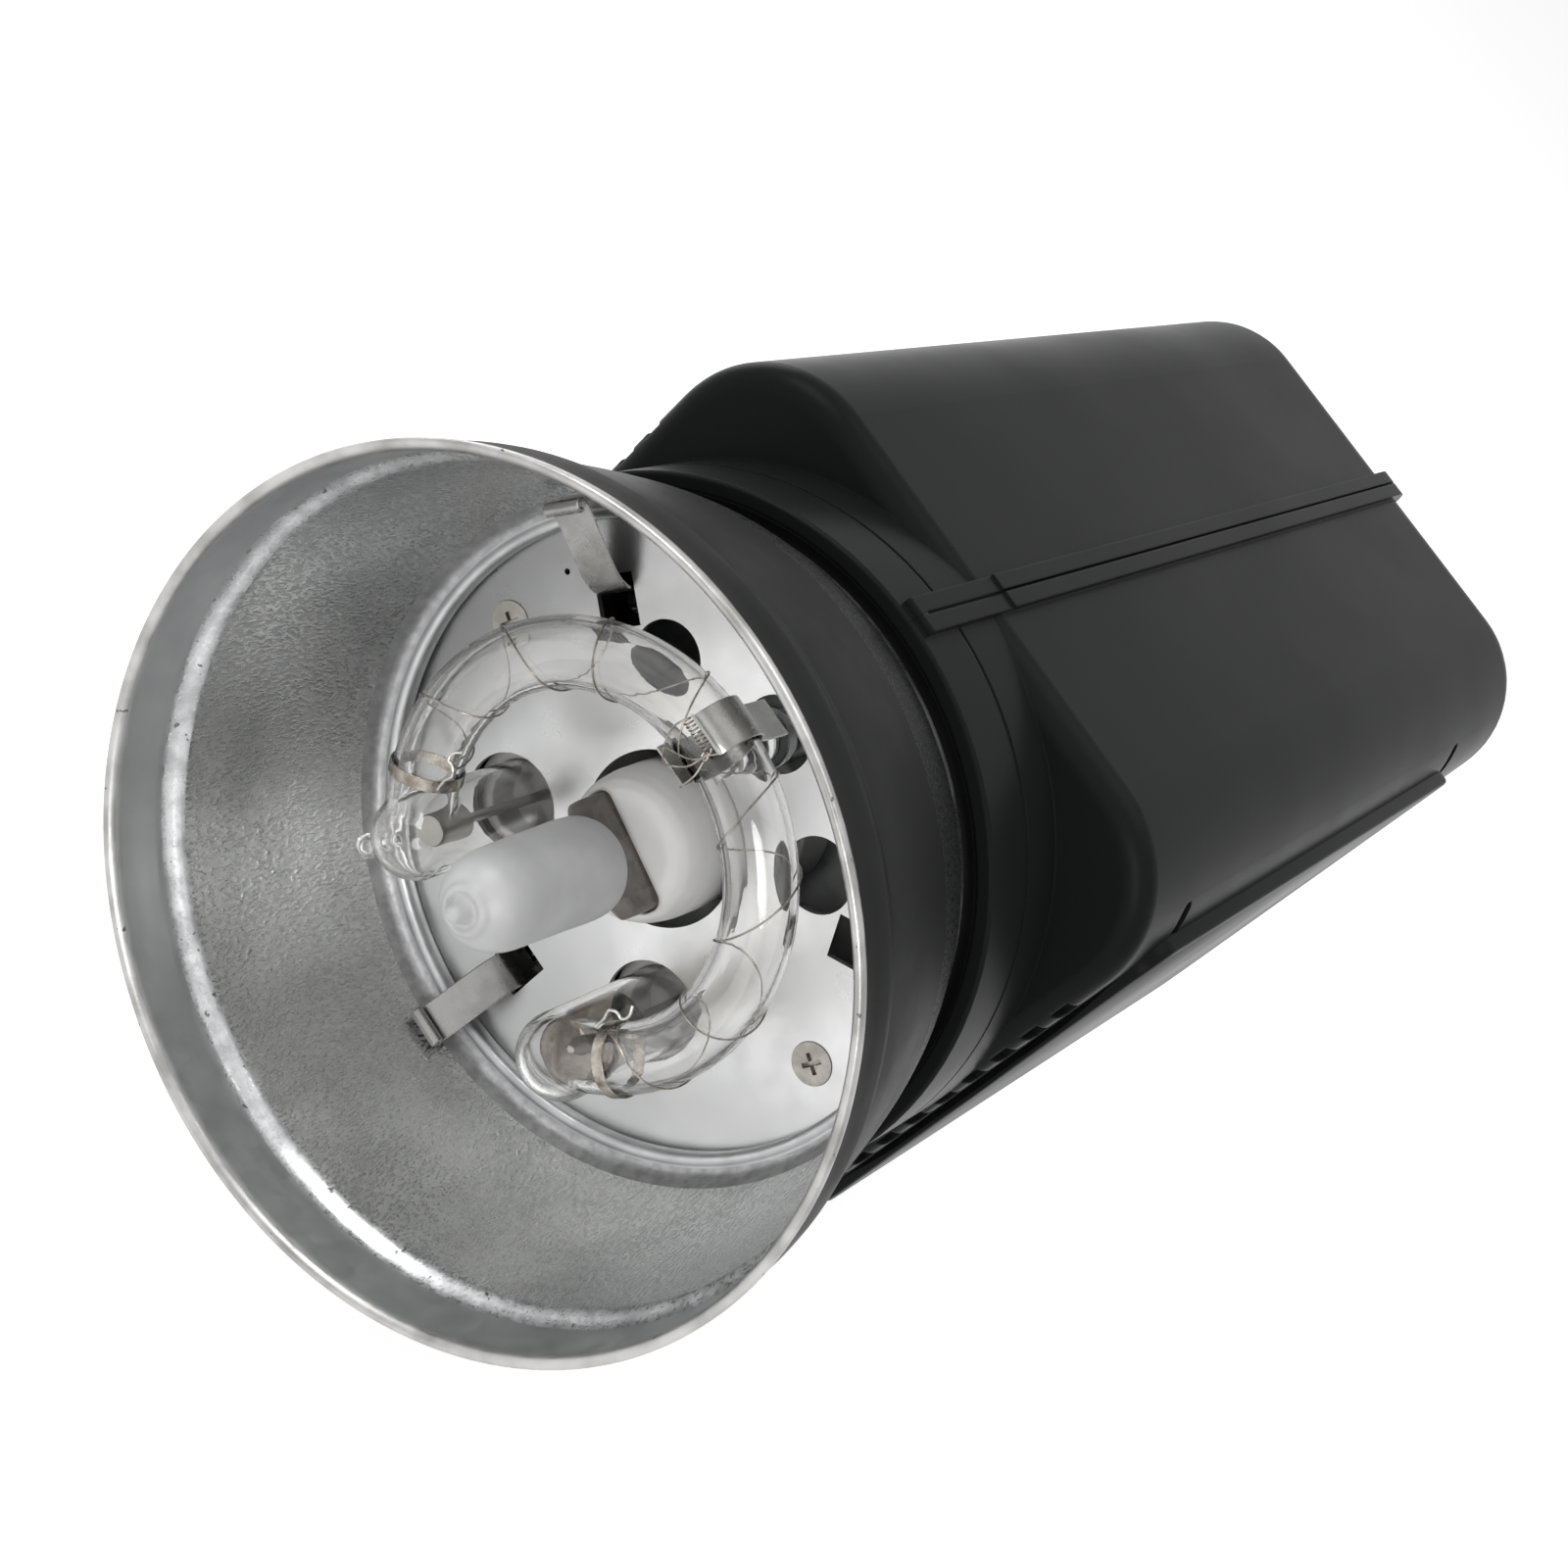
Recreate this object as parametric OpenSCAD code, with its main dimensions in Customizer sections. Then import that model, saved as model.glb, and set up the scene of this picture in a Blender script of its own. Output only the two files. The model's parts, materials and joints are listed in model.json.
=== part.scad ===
// Studio strobe with a bare 178 mm reflector, a horseshoe flash tube and a tilting stand bracket.
// Millimetres. X right as seen from in front, Y back along the light axis, Z up.
// Every module is drawn about the light axis, with Y = 0 at the reflector's rim, and frame() then
// moves it so that the mouth of the stand socket is at the origin.

/* [Reflector] */
// Radius of the front rim
rim_r = 89; // [87:0.5:90]
// Depth from the rim to the seat on the face plate
refl_d = 71.5; // [71:0.1:72]
// Radius of the rear opening
lip_r = 66.5; // [66:0.1:67]
// Wall of the spun bowl
refl_w = 1.4; // [1:0.1:1.8]

/* [Case] */
// Half width of the case across X
case_hx = 78.4; // [78:0.1:80]
// Half height of the case
case_hz = 78; // [77.8:0.1:79]
// Corner radius of the case section
case_r = 30; // [28:1:32]
// Front of the square part of the case
case_y0 = 102.6; // [102:0.1:104]
// Rear face of the case
case_y1 = 376; // [372:1:380]
// Rounding of the case's front edge
front_r = 5.6; // [4:0.2:7]
// Rounding of the case's rear edge
rear_r = 12; // [10:0.5:13]
// Wall thickness
wall = 3; // [2.6:0.1:3.4]
// Radius of the round collar in front of the square part
collar_r = 77.4; // [77.2:0.1:77.8]
// Front edge of the collar
collar_y = 73.8; // [73.4:0.1:75]
// How far the parting lip stands out of the case
lip_h = 1.8; // [1:0.1:2.2]
// Spacing of the vents in the side edges
vent_p = 9.2; // [8:0.1:10]
// How far the side panel stands out
panel_h = 2.4; // [1.5:0.1:3]

/* [Flash tube] */
// Radius of the horseshoe's centre line
ring_r = 41.5; // [41:0.1:42]
// Height of the horseshoe's centre above the light axis
ring_z = 5.5; // [5:0.1:6]
// Depth of the horseshoe behind the rim
ring_y = 38.7; // [37:0.1:40]
// Outer radius of the glass tube
tube_r = 7.4; // [7:0.1:7.8]
// Outer radius of the two legs
leg_r = 9.5; // [9:0.1:10]
// Wall of the glass
glass = 1.4; // [1:0.1:1.8]
// Turns of the trigger wire on each side
wire_turns = 4; // [3:1:5]

/* [Modelling lamp] */
// Radius of the frosted capsule
lamp_r = 10.6; // [9.5:0.1:11]
// Front tip of the capsule behind the rim
lamp_y = 3; // [2:0.5:6]
// Radius of the ceramic lamp holder
holder_r = 16.8; // [16:0.1:17.5]

/* [Rear panel] */
// Half width of the rear panel
panel_hw = 66; // [65.5:0.1:66.5]
// Thickness of the rear panel
panel_t = 2; // [1.5:0.1:2.5]
// Width across the fan
fan_w = 60; // [58:1:62]
// Travel of the two faders each way
fader_s = 18; // [15:1:19]

/* [Stand bracket] */
// Depth of the tilt axis behind the rim
tilt_y = 190; // [185:1:200]
// Drop of the tilt axis under the case
tilt_d = 26; // [25.5:0.1:28]
// Length from the tilt axis down to the socket's mouth
stem_l = 56; // [54:1:61]
// Diameter of the stand socket, for a 16 mm spigot
socket_d = 16.2; // [16.1:0.05:16.4]
// Diameter of the umbrella hole
brolly_d = 8.6; // [8.2:0.1:9]
// Width of the stand block between the bracket's ears
block_w = 21.6; // [20:0.2:24]

/* [Hidden] */
$fn = 64;
run = 0.05;                  // radial clearance of a running fit
loose = 0.1;                 // clearance of a part that drops in
plate_y = refl_d;            // front face of the face plate
plate_t = 1.5;
bore_r = collar_r - 3.4;     // bore of the collar
plate_r = bore_r - 2.6;
seat_y = plate_y + plate_t;  // front face of the ring behind the face plate
chassis_y = case_y0 + 7.4;   // front of the chassis
sheet = 1.5;                 // folded sheet of the chassis
floor_z = wall - case_hz;    // inside of the case's floor
panel_y = case_y1 - 6;       // front face of the rear panel, set into the case
panel_w = 2 * panel_hw;
tilt_z = case_hz + tilt_d;    // drop of the tilt axis under the light axis
mouth_z = tilt_z + stem_l;    // and of the socket's mouth
finger_a = [60, 180, 300];   // clock angles, from up and towards -X
screw_a = [90, 270];
leg_a = [135, 225];
hole_a = [45, 315];
leg_c = 39;                  // radius of the circle of the five round holes
leg_x = leg_c * sin(leg_a[0]);
post_hole = 8.25;
screw_c = 57.3;              // radius of the circle of the two face screws
piv = [50, plate_y + 12.5];  // finger hinge: radius and depth
piv_r = 1;
pinch_a = 79;                // clock angle of the lamp's flat pinch

module frame() translate([0, -tilt_y, mouth_z]) children();
// turn a feature drawn at the top to a clock angle
module clock(a) rotate([0, -a, 0]) children();
// revolve an outline of [radius, depth] about the light axis
module turned(n = 96) rotate([-90, 0, 0]) rotate_extrude($fn = n) children();
// extrude an outline of [x, z] from depth y0 to depth y1
module slab(y0, y1) translate([0, y1, 0]) rotate([90, 0, 0]) linear_extrude(y1 - y0) children();
// extrude an outline of [y, z] from x0 to x1
module across(x0, x1) translate([x0, 0, 0]) rotate([90, 0, 90]) linear_extrude(x1 - x0) children();
// extrude an outline of [x, y] from z0 to z1
module upright(z0, z1) translate([0, 0, z0]) linear_extrude(z1 - z0) children();
module ycyl(x, z, y0, y1, r, n = 48) translate([x, y0, z]) rotate([-90, 0, 0]) cylinder(h = y1 - y0, r = r, $fn = n);
module xcyl(y, z, x0, x1, r, n = 48) translate([x0, y, z]) rotate([0, 90, 0]) cylinder(h = x1 - x0, r = r, $fn = n);
module zcyl(x, y, z0, z1, r, n = 48) translate([x, y, z0]) cylinder(h = z1 - z0, r = r, $fn = n);
module box(x0, x1, y0, y1, z0, z1) translate([x0, y0, z0]) cube([x1 - x0, y1 - y0, z1 - z0]);
// rounded rectangle centred on the origin
module rrect(w, h, r) {
  square([w - 2 * r, h], center = true);
  square([w, h - 2 * r], center = true);
  for (i = [-1, 1], j = [-1, 1]) translate([i * (w / 2 - r), j * (h / 2 - r)]) circle(r, $fn = 64);
}
// rectangle from p to q with its own radius at the low-y and the high-y end
module ends(p, q, r0, r1) {
  translate([p[0] + r0, p[1]]) square([q[0] - p[0] - r0 - r1, q[1] - p[1]]);
  translate([p[0], p[1] + r0]) square([r0 + 0.01, q[1] - p[1] - 2 * r0]);
  translate([q[0] - r1 - 0.01, p[1] + r1]) square([r1 + 0.01, q[1] - p[1] - 2 * r1]);
  for (z = [p[1] + r0, q[1] - r0]) translate([p[0] + r0, z]) circle(r0, $fn = 64);
  for (z = [p[1] + r1, q[1] - r1]) translate([q[0] - r1, z]) circle(r1, $fn = 64);
}
// round tube swept along points, with k sides
function unit(v) = v / norm(v);
function tang(p, i) = unit(p[min(i + 1, len(p) - 1)] - p[max(i - 1, 0)]);
function flat(n, t) = unit(n - (n * t) * t);
function norms(p, n, i = 0, acc = []) = i == len(p) ? acc
  : let (m = flat(n, tang(p, i))) norms(p, m, i + 1, concat(acc, [m]));
module sweep(p, r, k = 8, n0 = [0.31, 0.17, 0.93]) {
  nn = norms(p, n0);
  pts = [for (i = [0:len(p) - 1]) let (t = tang(p, i), b = cross(t, nn[i])) for (j = [0:k - 1])
    p[i] + r * (cos(360 * j / k) * nn[i] + sin(360 * j / k) * b)];
  side = [for (i = [0:len(p) - 2], j = [0:k - 1]) let (j2 = (j + 1) % k)
    [i * k + j, (i + 1) * k + j, (i + 1) * k + j2, i * k + j2]];
  polyhedron(pts, concat(side, [[for (j = [0:k - 1]) j]], [[for (j = [k - 1:-1:0]) (len(p) - 1) * k + j]]));
}

// Reflector: rolled rim, flat band, step, bowl, and a rolled lip that seats on the face plate.
// bowl gives the share of the fall in radius and of the depth along the bowl's curve.
bowl = [[0, 0], [0.06, 0.1], [0.14, 0.22], [0.23, 0.34], [0.333, 0.463], [0.435, 0.575], [0.544, 0.686], [0.66, 0.785],
  [0.789, 0.88], [1, 1]];
bowl_a = [rim_r - 5.2, 18.2];
bowl_b = [lip_r + 5.9, refl_d - 4.9];
bowl_in = [for (f = bowl) [bowl_a[0] + (bowl_b[0] - bowl_a[0]) * f[0], bowl_a[1] + (bowl_b[1] - bowl_a[1]) * f[1]]];
module reflector() frame() color("#2b2b2c") turned(128) polygon(concat(
  [[rim_r, 0], [rim_r + 0.4, 0.9], [rim_r + 0.2, 2.2], [rim_r - 0.6, 3], [rim_r - 1.1, 13.5], [rim_r - 2.2, 15.8]],
  [for (p = bowl_in) p + [refl_w, 0.5]],
  [[lip_r + 6.1, refl_d - 1.3], [lip_r + 3.5, refl_d], [lip_r + 1.5, refl_d], [lip_r, refl_d - 1.1], [lip_r, refl_d - 3.1],
    [lip_r + 1.1, refl_d - 4.5], [lip_r + 3.7, refl_d - 3.9]],
  [for (i = [len(bowl_in) - 1:-1:0]) bowl_in[i]],
  [[rim_r - 3.9, 16], [rim_r - 2.6, 13.8], [rim_r - 2.2, 2.4], [rim_r - 1, 0.2]]));

// Case: two halves with a parting lip, a round collar, and rounded front and rear edges
module section(g) rrect(2 * (case_hx - g), 2 * (case_hz - g), case_r - g);
module solid_case() {
  cx = case_hx - case_r;
  cz = case_hz - case_r;
  across(-cx, cx) ends([case_y0, -case_hz], [case_y1, case_hz], front_r, rear_r);
  for (i = [0, 1]) mirror([i, 0, 0]) {
    upright(-cz, cz) intersection() {
      mirror([1, -1]) ends([case_y0, -case_hx], [case_y1, case_hx], front_r, rear_r);
      translate([cx, 0]) square([case_r, case_y1 + 10]);
    }
    // each corner is a quarter turn of the same outline
    for (j = [0, 1]) mirror([0, 0, j]) translate([cx, 0, -cz]) rotate([-90, 0, 0]) rotate_extrude(angle = 90, $fn = 96)
      intersection() {
        mirror([1, -1]) ends([case_y0, -case_r], [case_y1, case_r], front_r, rear_r);
        square([case_r, case_y1 + 10]);
      }
  }
  turned() polygon([[0, collar_y + 0.6], [0, chassis_y + 4], [collar_r, chassis_y + 4], [collar_r, collar_y + 0.6],
    [collar_r - 0.6, collar_y], [60, collar_y]]);
  // parting lip along the top and the bottom, stepped where the collar ends
  intersection() {
    across(-4.2, 4.2) ends([collar_y + 2.2, -case_hz - lip_h], [case_y1 + 1.4, case_hz + lip_h], 2, 9);
    union() {
      box(-4.2, 4.2, collar_y, case_y0 + 11.4, -case_hz - 0.67 * lip_h, case_hz + 0.67 * lip_h);
      box(-4.2, 4.2, case_y0 + 9.4, case_y1 + 4, -case_hz - lip_h - 1, case_hz + lip_h + 1);
    }
  }
}
module hollow_case() {
  slab(case_y0 + wall, panel_y - 4) section(wall);
  ycyl(0, 0, collar_y - 1, chassis_y + sheet + 0.5, bore_r, 96);
  slab(panel_y - 10, case_y1 + 4) rrect(panel_w - 12, panel_w - 12, 26);
  slab(panel_y, case_y1 + 4) rrect(panel_w, panel_w, 20);
}
// crowned panel on one side, crossed by a slot near each end
side_y = [case_y0 + 15.4, case_y1 - 48];
module side_panel() intersection() {
  across(case_hx - 8, case_hx + 12) translate([(side_y[0] + side_y[1]) / 2, 0]) rrect(side_y[1] - side_y[0], 112, 9);
  translate([case_hx + panel_h - 420, 0, 0]) rotate([-90, 0, 0]) cylinder(h = case_y1, r = 420, $fn = 128);
}
case_boss = [for (y = [case_y0 + 21.4, case_y1 - 46], z = [case_hz - 24, 24 - case_hz]) [y, z]];
bolt_y = [tilt_y - 27, tilt_y + 27]; // rows of the four bracket screws
bolt_x = 20;
screw_w = panel_w / 2 - 9;           // rear panel screws
module case_half(s) difference() {
  union() {
    difference() {
      union() { solid_case(); if (s > 0) side_panel(); }
      hollow_case();
    }
    // screw columns
    for (b = case_boss) intersection() {
      xcyl(b[0], b[1], -case_hx, case_hx, 4.6);
      slab(case_y0, case_y1) section(1);
    }
  }
  box(s > 0 ? -100 : 0, s > 0 ? 0 : 100, 0, case_y1 + 10, -100, 100);
  // thin seam round the collar
  turned() polygon([[collar_r - 0.7, 89.3], [collar_r + 0.5, 89.3], [collar_r + 0.5, 90.1], [collar_r - 0.7, 90.1]]);
  // seam along the parting lip
  for (k = [0, 1]) mirror([0, 0, k]) box(-0.35, 0.35, collar_y + 5, case_y1 + 5, case_hz + 0.7, case_hz + 3);
  // vents in the front edge of each side
  for (i = [-4:4]) translate([s * case_hx, case_y0 + 4.9, i * vent_p]) cube([24, 6.2, 5.2], center = true);
  for (b = case_boss) {
    xcyl(b[0], b[1], -case_hx, 14, 1.9 + run);
    xcyl(b[0], b[1], -case_hx - 10, -34, 4.3);
  }
  // cross slots of the side panel
  if (s > 0) for (y = [side_y[0] + 11, side_y[1] - 6]) across(case_hx - 8, case_hx + 12) translate([y, 0]) rrect(4.2, 128, 2.09);
  // bracket screw holes
  for (y = bolt_y) zcyl(s * bolt_x, y, -case_hz - 10, floor_z + 10, 2.5 + run);
  // rear panel screw holes
  for (k = [-1, 1]) ycyl(s * screw_w, k * screw_w, panel_y - 8, panel_y + 2, 1.5 + run);
}
module case_left() frame() color("#333436") case_half(-1);
module case_right() frame() color("#333436") case_half(1);

// Face plate and what it carries
module face_plate() frame() color("#b9bbbd") difference() {
  ycyl(0, 0, plate_y, seat_y, plate_r, 128);
  ycyl(0, 0, plate_y - 2, seat_y + 2, holder_r + 2.5, 64);
  for (a = leg_a) clock(a) ycyl(0, leg_c, plate_y - 2, seat_y + 2, leg_r + 2.3);
  for (a = concat(hole_a, [0])) clock(a) ycyl(0, leg_c, plate_y - 2, seat_y + 2, post_hole);
  for (a = finger_a) clock(a) box(-fin_w / 2 - 0.4, fin_w / 2 + 0.4, plate_y - 2, seat_y + 2, piv[0] - 4.8, piv[0] + 6.6);
  for (a = screw_a) clock(a) {
    ycyl(0, screw_c, plate_y - 2, seat_y + 2, 2.2);
    translate([0, plate_y - 0.01, screw_c]) rotate([-90, 0, 0]) cylinder(h = 1.3, r1 = 4.9, r2 = 3.6, $fn = 48);
  }
  clock(71) ycyl(0, 59.6, plate_y - 2, seat_y + 2, 0.7, 24);
}
module face_screws() frame() color("#9c9a96") for (a = screw_a) clock(a) translate([0, plate_y, screw_c]) difference() {
  union() {
    ycyl(0, 0, -0.25, 0, 4.8);
    rotate([-90, 0, 0]) cylinder(h = 1.25, r1 = 4.8, r2 = 3.55, $fn = 48);
    ycyl(0, 0, 1.2, 12, 2.05);
  }
  for (k = [0, 90]) rotate([0, k + 20, 0]) box(-2.4, 2.4, -1, 1.1, -0.5, 0.5);
}
module front_ring() frame() color("#1c1c1d") difference() {
  union() {
    turned() polygon([[62, seat_y], [bore_r - run, seat_y], [bore_r - run, chassis_y], [bore_r - 3, chassis_y],
      [bore_r - 3, seat_y + 17], [66, seat_y + 15], [62, seat_y + 15]]);
    for (a = screw_a) clock(a) slab(seat_y, seat_y + 13) translate([0, screw_c]) { circle(5); translate([-5, 0]) square([10, 9]); }
    // two ears at each finger's hinge
    for (a = finger_a) clock(a) for (k = [0, 1]) mirror([k, 0, 0]) across(fin_w / 2 + 0.6, fin_w / 2 + 3) {
      translate([piv[1], piv[0]]) circle(3.6);
      translate([piv[1] - 3.6, piv[0]]) square([7.2, 14]);
    }
  }
  for (a = screw_a) clock(a) ycyl(0, screw_c, seat_y - 3, seat_y + 17, 2.1);
  for (a = finger_a) clock(a) {
    xcyl(piv[1], piv[0], -fin_w, fin_w, piv_r + 0.02, 32);
    box(-fin_w / 2 - 0.6, fin_w / 2 + 0.6, seat_y - 1, seat_y + 22, piv[0] + 5, piv[0] + 18.5);
  }
}
// One spring finger, drawn at the top: hinge eye, arm through the slot, leg over the reflector's lip.
// Radii count from the hinge, and depths from the face plate.
fin_w = 9;
fin_o = [[3.3, 7.5], [3.6, 0.5], [4.8, -1.9], [6.9, -3.7], [10, -5.2], [19.6, -9.1], [20.9, -10.6], [20.4, -13.6]];
fin_i = [[19.5, -13.5], [19.9, -10.9], [19.1, -10], [9.5, -6.1], [6.3, -4.5], [4, -2.4], [2.7, 0.3], [2.4, 7.5]];
module finger() color("#c9c8c4") difference() {
  union() {
    across(-fin_w / 2, fin_w / 2) polygon([for (p = concat(fin_o, fin_i)) [plate_y + p[1], piv[0] + p[0]]]);
    across(-fin_w / 2, -0.4) translate([piv[1], piv[0]]) {
      polygon([[-5.4, 2.4], [-5.4, 3.3], [0, 3.2], [4, 1.2], [11, 0.4], [11, -0.4], [3, -1.4], [0, -1.8], [-2.5, -0.4]]);
      circle(3.2);
    }
  }
  xcyl(piv[1], piv[0], -fin_w, fin_w, piv_r + run, 32);
}
module finger_a() frame() clock(finger_a[0]) finger();
module finger_b() frame() clock(finger_a[1]) finger();
module finger_c() frame() clock(finger_a[2]) finger();
module finger_pins() frame() color("#a8a8a6") for (a = finger_a) clock(a)
  xcyl(piv[1], piv[0], -fin_w / 2 - 3.4, fin_w / 2 + 3.4, piv_r, 32);
// torsion springs on the hinge pins, wound from one wire each
spr_n = 3;
spr_w = 0.25;
spr_p = 1.15;
spr_r = piv_r + spr_w + 0.65;
function spring_pts() = concat([for (k = [4.6, 3, 1.4]) [0.9, piv[1] - k, piv[0] + spr_r]],
  [for (i = [0:spr_n * 16]) let (a = 90 - i * 22.5) [0.9 + spr_p * i / 16, piv[1] + spr_r * cos(a), piv[0] + spr_r * sin(a)]]);
echo("torsion spring gap between turns", spr_p - 2 * spr_w);
module finger_springs() frame() color("#8f9092") for (a = finger_a) clock(a) sweep(spring_pts(), spr_w, 6);

// Flash tube: a horseshoe whose ends run into two domed legs
leg_y = ring_y - leg_r + 0.4;                       // front of the legs' domes
arc_h = 178.8 - atan(leg_x / (leg_x + ring_z));     // half angle of the horseshoe
socket_y = seat_y + 3;
function ring_pt(a, r) = [-r * sin(a), ring_z + r * cos(a)];
module ring_part(a0, a1, r0, r1) translate([0, ring_y, ring_z]) rotate([0, -90, 0]) rotate([-90, 0, 0])
  rotate([0, 0, a0]) rotate_extrude(angle = a1 - a0, $fn = 128) translate([ring_r, 0]) difference() {
    circle(r1, $fn = 48);
    if (r0 > 0) circle(r0, $fn = 48);
  }
module leg(s, r, y0, y1) translate([s * leg_x, 0, -leg_x]) turned(64) {
  intersection() {
    translate([0, y0 + r]) circle(r, $fn = 64);
    translate([0, y0]) square([r, r]);
  }
  translate([0, y0 + r]) square([r, y1 - y0 - r]);
}
module flash_tube() frame() color("#d9dde0", 0.35) difference() {
  union() {
    ring_part(-arc_h, arc_h, 0, tube_r);
    for (s = [-1, 1]) leg(s, leg_r, leg_y, socket_y + 8);
    translate([-leg_x, ring_y + 1, -leg_x]) rotate([0, 180 + 24, 0]) {
      cylinder(h = leg_r + 4.5, r = 2.1, $fn = 32);
      translate([0, 0, leg_r + 4.5]) sphere(2.9, $fn = 32);
    }
  }
  ring_part(-arc_h, arc_h, 0, tube_r - glass);
  for (s = [-1, 1]) leg(s, leg_r - glass, leg_y + glass, socket_y + 5);
  for (s = [-1, 1]) ycyl(s * leg_x, -leg_x, socket_y + 4, socket_y + 10, 1.3, 24);
}
module electrodes() frame() color("#6f6c68") for (s = [-1, 1]) {
  ycyl(s * leg_x, -leg_x, ring_y + 7.3, socket_y + 19, 1.1, 24);
  translate([s * leg_x, ring_y, -leg_x]) turned(48) polygon(s < 0 ? [[0, 4.8], [3.4, 5.2], [3.7, 5.9], [3.7, 14.3], [0, 14.3]]
    : [[0, 3.8], [0.8, 4.2], [2.2, 7.3], [2.2, 13.3], [0, 13.3]]);
}
band_a = [118, 122];
module tube_bands() frame() color("#b8ab95") for (s = [-1, 1])
  ring_part(s > 0 ? band_a[0] : -band_a[1], s > 0 ? band_a[1] : -band_a[0], tube_r + 0.02, tube_r + 0.55);
// trigger wire: one unbroken wire wound along the horseshoe, left and right of the clip
wire_r = 0.32;
wire_a = band_a[0] - 1.5;
function wire_pt(a, b) = let (q = tube_r + wire_r + 0.08, rr = ring_r + q * cos(b), p = ring_pt(a, rr))
  [p[0], ring_y + q * sin(b), p[1]];
wire_n = wire_turns * 2 * 22;
module trigger_wire() frame() color("#6d6862")
  sweep([for (i = [0:wire_n]) wire_pt(wire_a * (2 * i / wire_n - 1), 200 + 360 * 2 * wire_turns * i / wire_n)], wire_r, 6);
echo("trigger wire gap between turns", wire_a / wire_turns * PI / 180 * (ring_r - tube_r) - 2 * wire_r);
clip_r = tube_r + 0.85;
clip_z = ring_z + ring_r;
post_y = ring_y + tube_r + 1.4;
// ribs of the post: radius and share of the way from its tip to the plate
post_rib = [[0, 0], [4.4, 0], [5.2, 1 / 24], [5.2, 6.5 / 24], [4.3, 7.5 / 24], [4.3, 9.5 / 24], [5.6, 10.5 / 24],
  [5.6, 14.5 / 24], [4.6, 15.5 / 24], [4.6, 17.5 / 24], [6.4, 18.5 / 24]];
module tube_post() frame() color("#dfe3e3") translate([0, 0, leg_c]) turned(48) polygon(concat(
  [for (p = post_rib) [p[0], post_y + (plate_y - post_y) * p[1]]], [[6.4, chassis_y], [0, chassis_y]]));
module tube_clip() frame() color("#bdbcb8") {
  difference() {
    ring_part(-6, 6, clip_r, clip_r + 0.65);
    // open on the inner front side, where the spring closes it
    box(-20, 20, ring_y - 20, ring_y + 2, ring_z, clip_z - 2);
  }
  box(-4.4, 4.4, ring_y + clip_r, post_y, leg_c - 4.2, clip_z + 3);
}
clip_n = 8;
clip_p = 0.98;
clip_w = 0.22;
function clip_pts() = [for (i = [0:clip_n * 10]) [-1.4 + 0.9 * cos(i * 36 + 90), ring_y - tube_r - 2.8 + 0.9 * sin(i * 36 + 90),
  clip_z - 5 + clip_p * i / 10]];
echo("clip spring gap between turns", clip_p - 2 * clip_w);
module clip_spring() frame() color("#9a9a98") sweep(clip_pts(), clip_w, 6, [0, 0, 1]);
module tube_sockets() frame() color("#e6e2d8") for (s = [-1, 1]) difference() {
  ycyl(s * leg_x, -leg_x, socket_y, chassis_y, leg_r + 2.9);
  ycyl(s * leg_x, -leg_x, socket_y - 1, socket_y + 8, leg_r + 0.2);
  ycyl(s * leg_x, -leg_x, socket_y - 1, socket_y + 20, 1.25, 24);
}

// Modelling lamp
pinch_y = 53;
module lamp_capsule() frame() color("#e4e6e7") turned(64) polygon([[0, lamp_y], [1.6, lamp_y + 0.2], [2.5, lamp_y + 1.6],
  [2.9, lamp_y + 3.6], [4.2, lamp_y + 5.2], [7, lamp_y + 6.4], [lamp_r - 1.3, lamp_y + 8.8], [lamp_r - 0.2, lamp_y + 12],
  [lamp_r, lamp_y + 15], [lamp_r + 0.5, pinch_y - 7], [lamp_r - 0.4, pinch_y - 2.5], [7.5, pinch_y], [0, pinch_y]]);
module lamp_pinch() frame() color("#c4b9ae") clock(pinch_a) {
  slab(pinch_y, pinch_y + 11) rrect(7, 26.5, 3);
  for (k = [-1, 1]) ycyl(0, k * 6, pinch_y + 11, pinch_y + 19, 1.2, 24);
}
module lamp_holder() frame() color("#f1f0ea") difference() {
  turned(64) polygon([[0, pinch_y + 4.4], [holder_r - 5.4, pinch_y + 4.4], [holder_r - 3.2, pinch_y + 5.2],
    [holder_r - 1.6, pinch_y + 7], [holder_r - 0.6, pinch_y + 10], [holder_r - 0.1, pinch_y + 14], [holder_r, pinch_y + 21],
    [holder_r, chassis_y - 12], [holder_r + 3.2, chassis_y - 11.5], [holder_r + 3.2, chassis_y], [0, chassis_y]]);
  clock(pinch_a) {
    slab(pinch_y + 3, pinch_y + 13) rrect(8, 27.4, 3.4);
    for (k = [-1, 1]) ycyl(0, k * 6, pinch_y + 7, pinch_y + 23, 1.3, 24);
  }
}

// Inside the case
cap_r = 25;
cap_x = cap_r + 1;
cap_l = 82;
cap_y = [chassis_y + 21, chassis_y + 116]; // front ends of the two rows of capacitors
cap_z = floor_z + sheet + 0.1 + cap_r;
board_z = cap_z + cap_r + 3.4;
module chassis() frame() color("#8d9092") difference() {
  union() {
    slab(chassis_y, chassis_y + sheet) circle(min(bore_r, case_hx - wall, case_hz - wall) - 1.5, $fn = 96);
    box(-46, 46, chassis_y + 1, case_y1 - 46, floor_z, floor_z + sheet);
    box(-46, 46, chassis_y, chassis_y + sheet, floor_z, floor_z + 35);
  }
  for (y = bolt_y, x = [-bolt_x, bolt_x]) zcyl(x, y, floor_z - 5, floor_z + 5, 2.5 + run);
  for (x = [-60, 60]) ycyl(x, 10, chassis_y - 10, chassis_y + 10, 4);
}
module capacitors() frame() color("#26345c") for (s = [-1, 1], y = cap_y) {
  ycyl(s * cap_x, cap_z, y, y + cap_l, cap_r, 64);
  for (k = [-1, 1]) ycyl(s * cap_x + k * 8, cap_z, y + cap_l, y + cap_l + 3, 3.5, 24);
}
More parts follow.
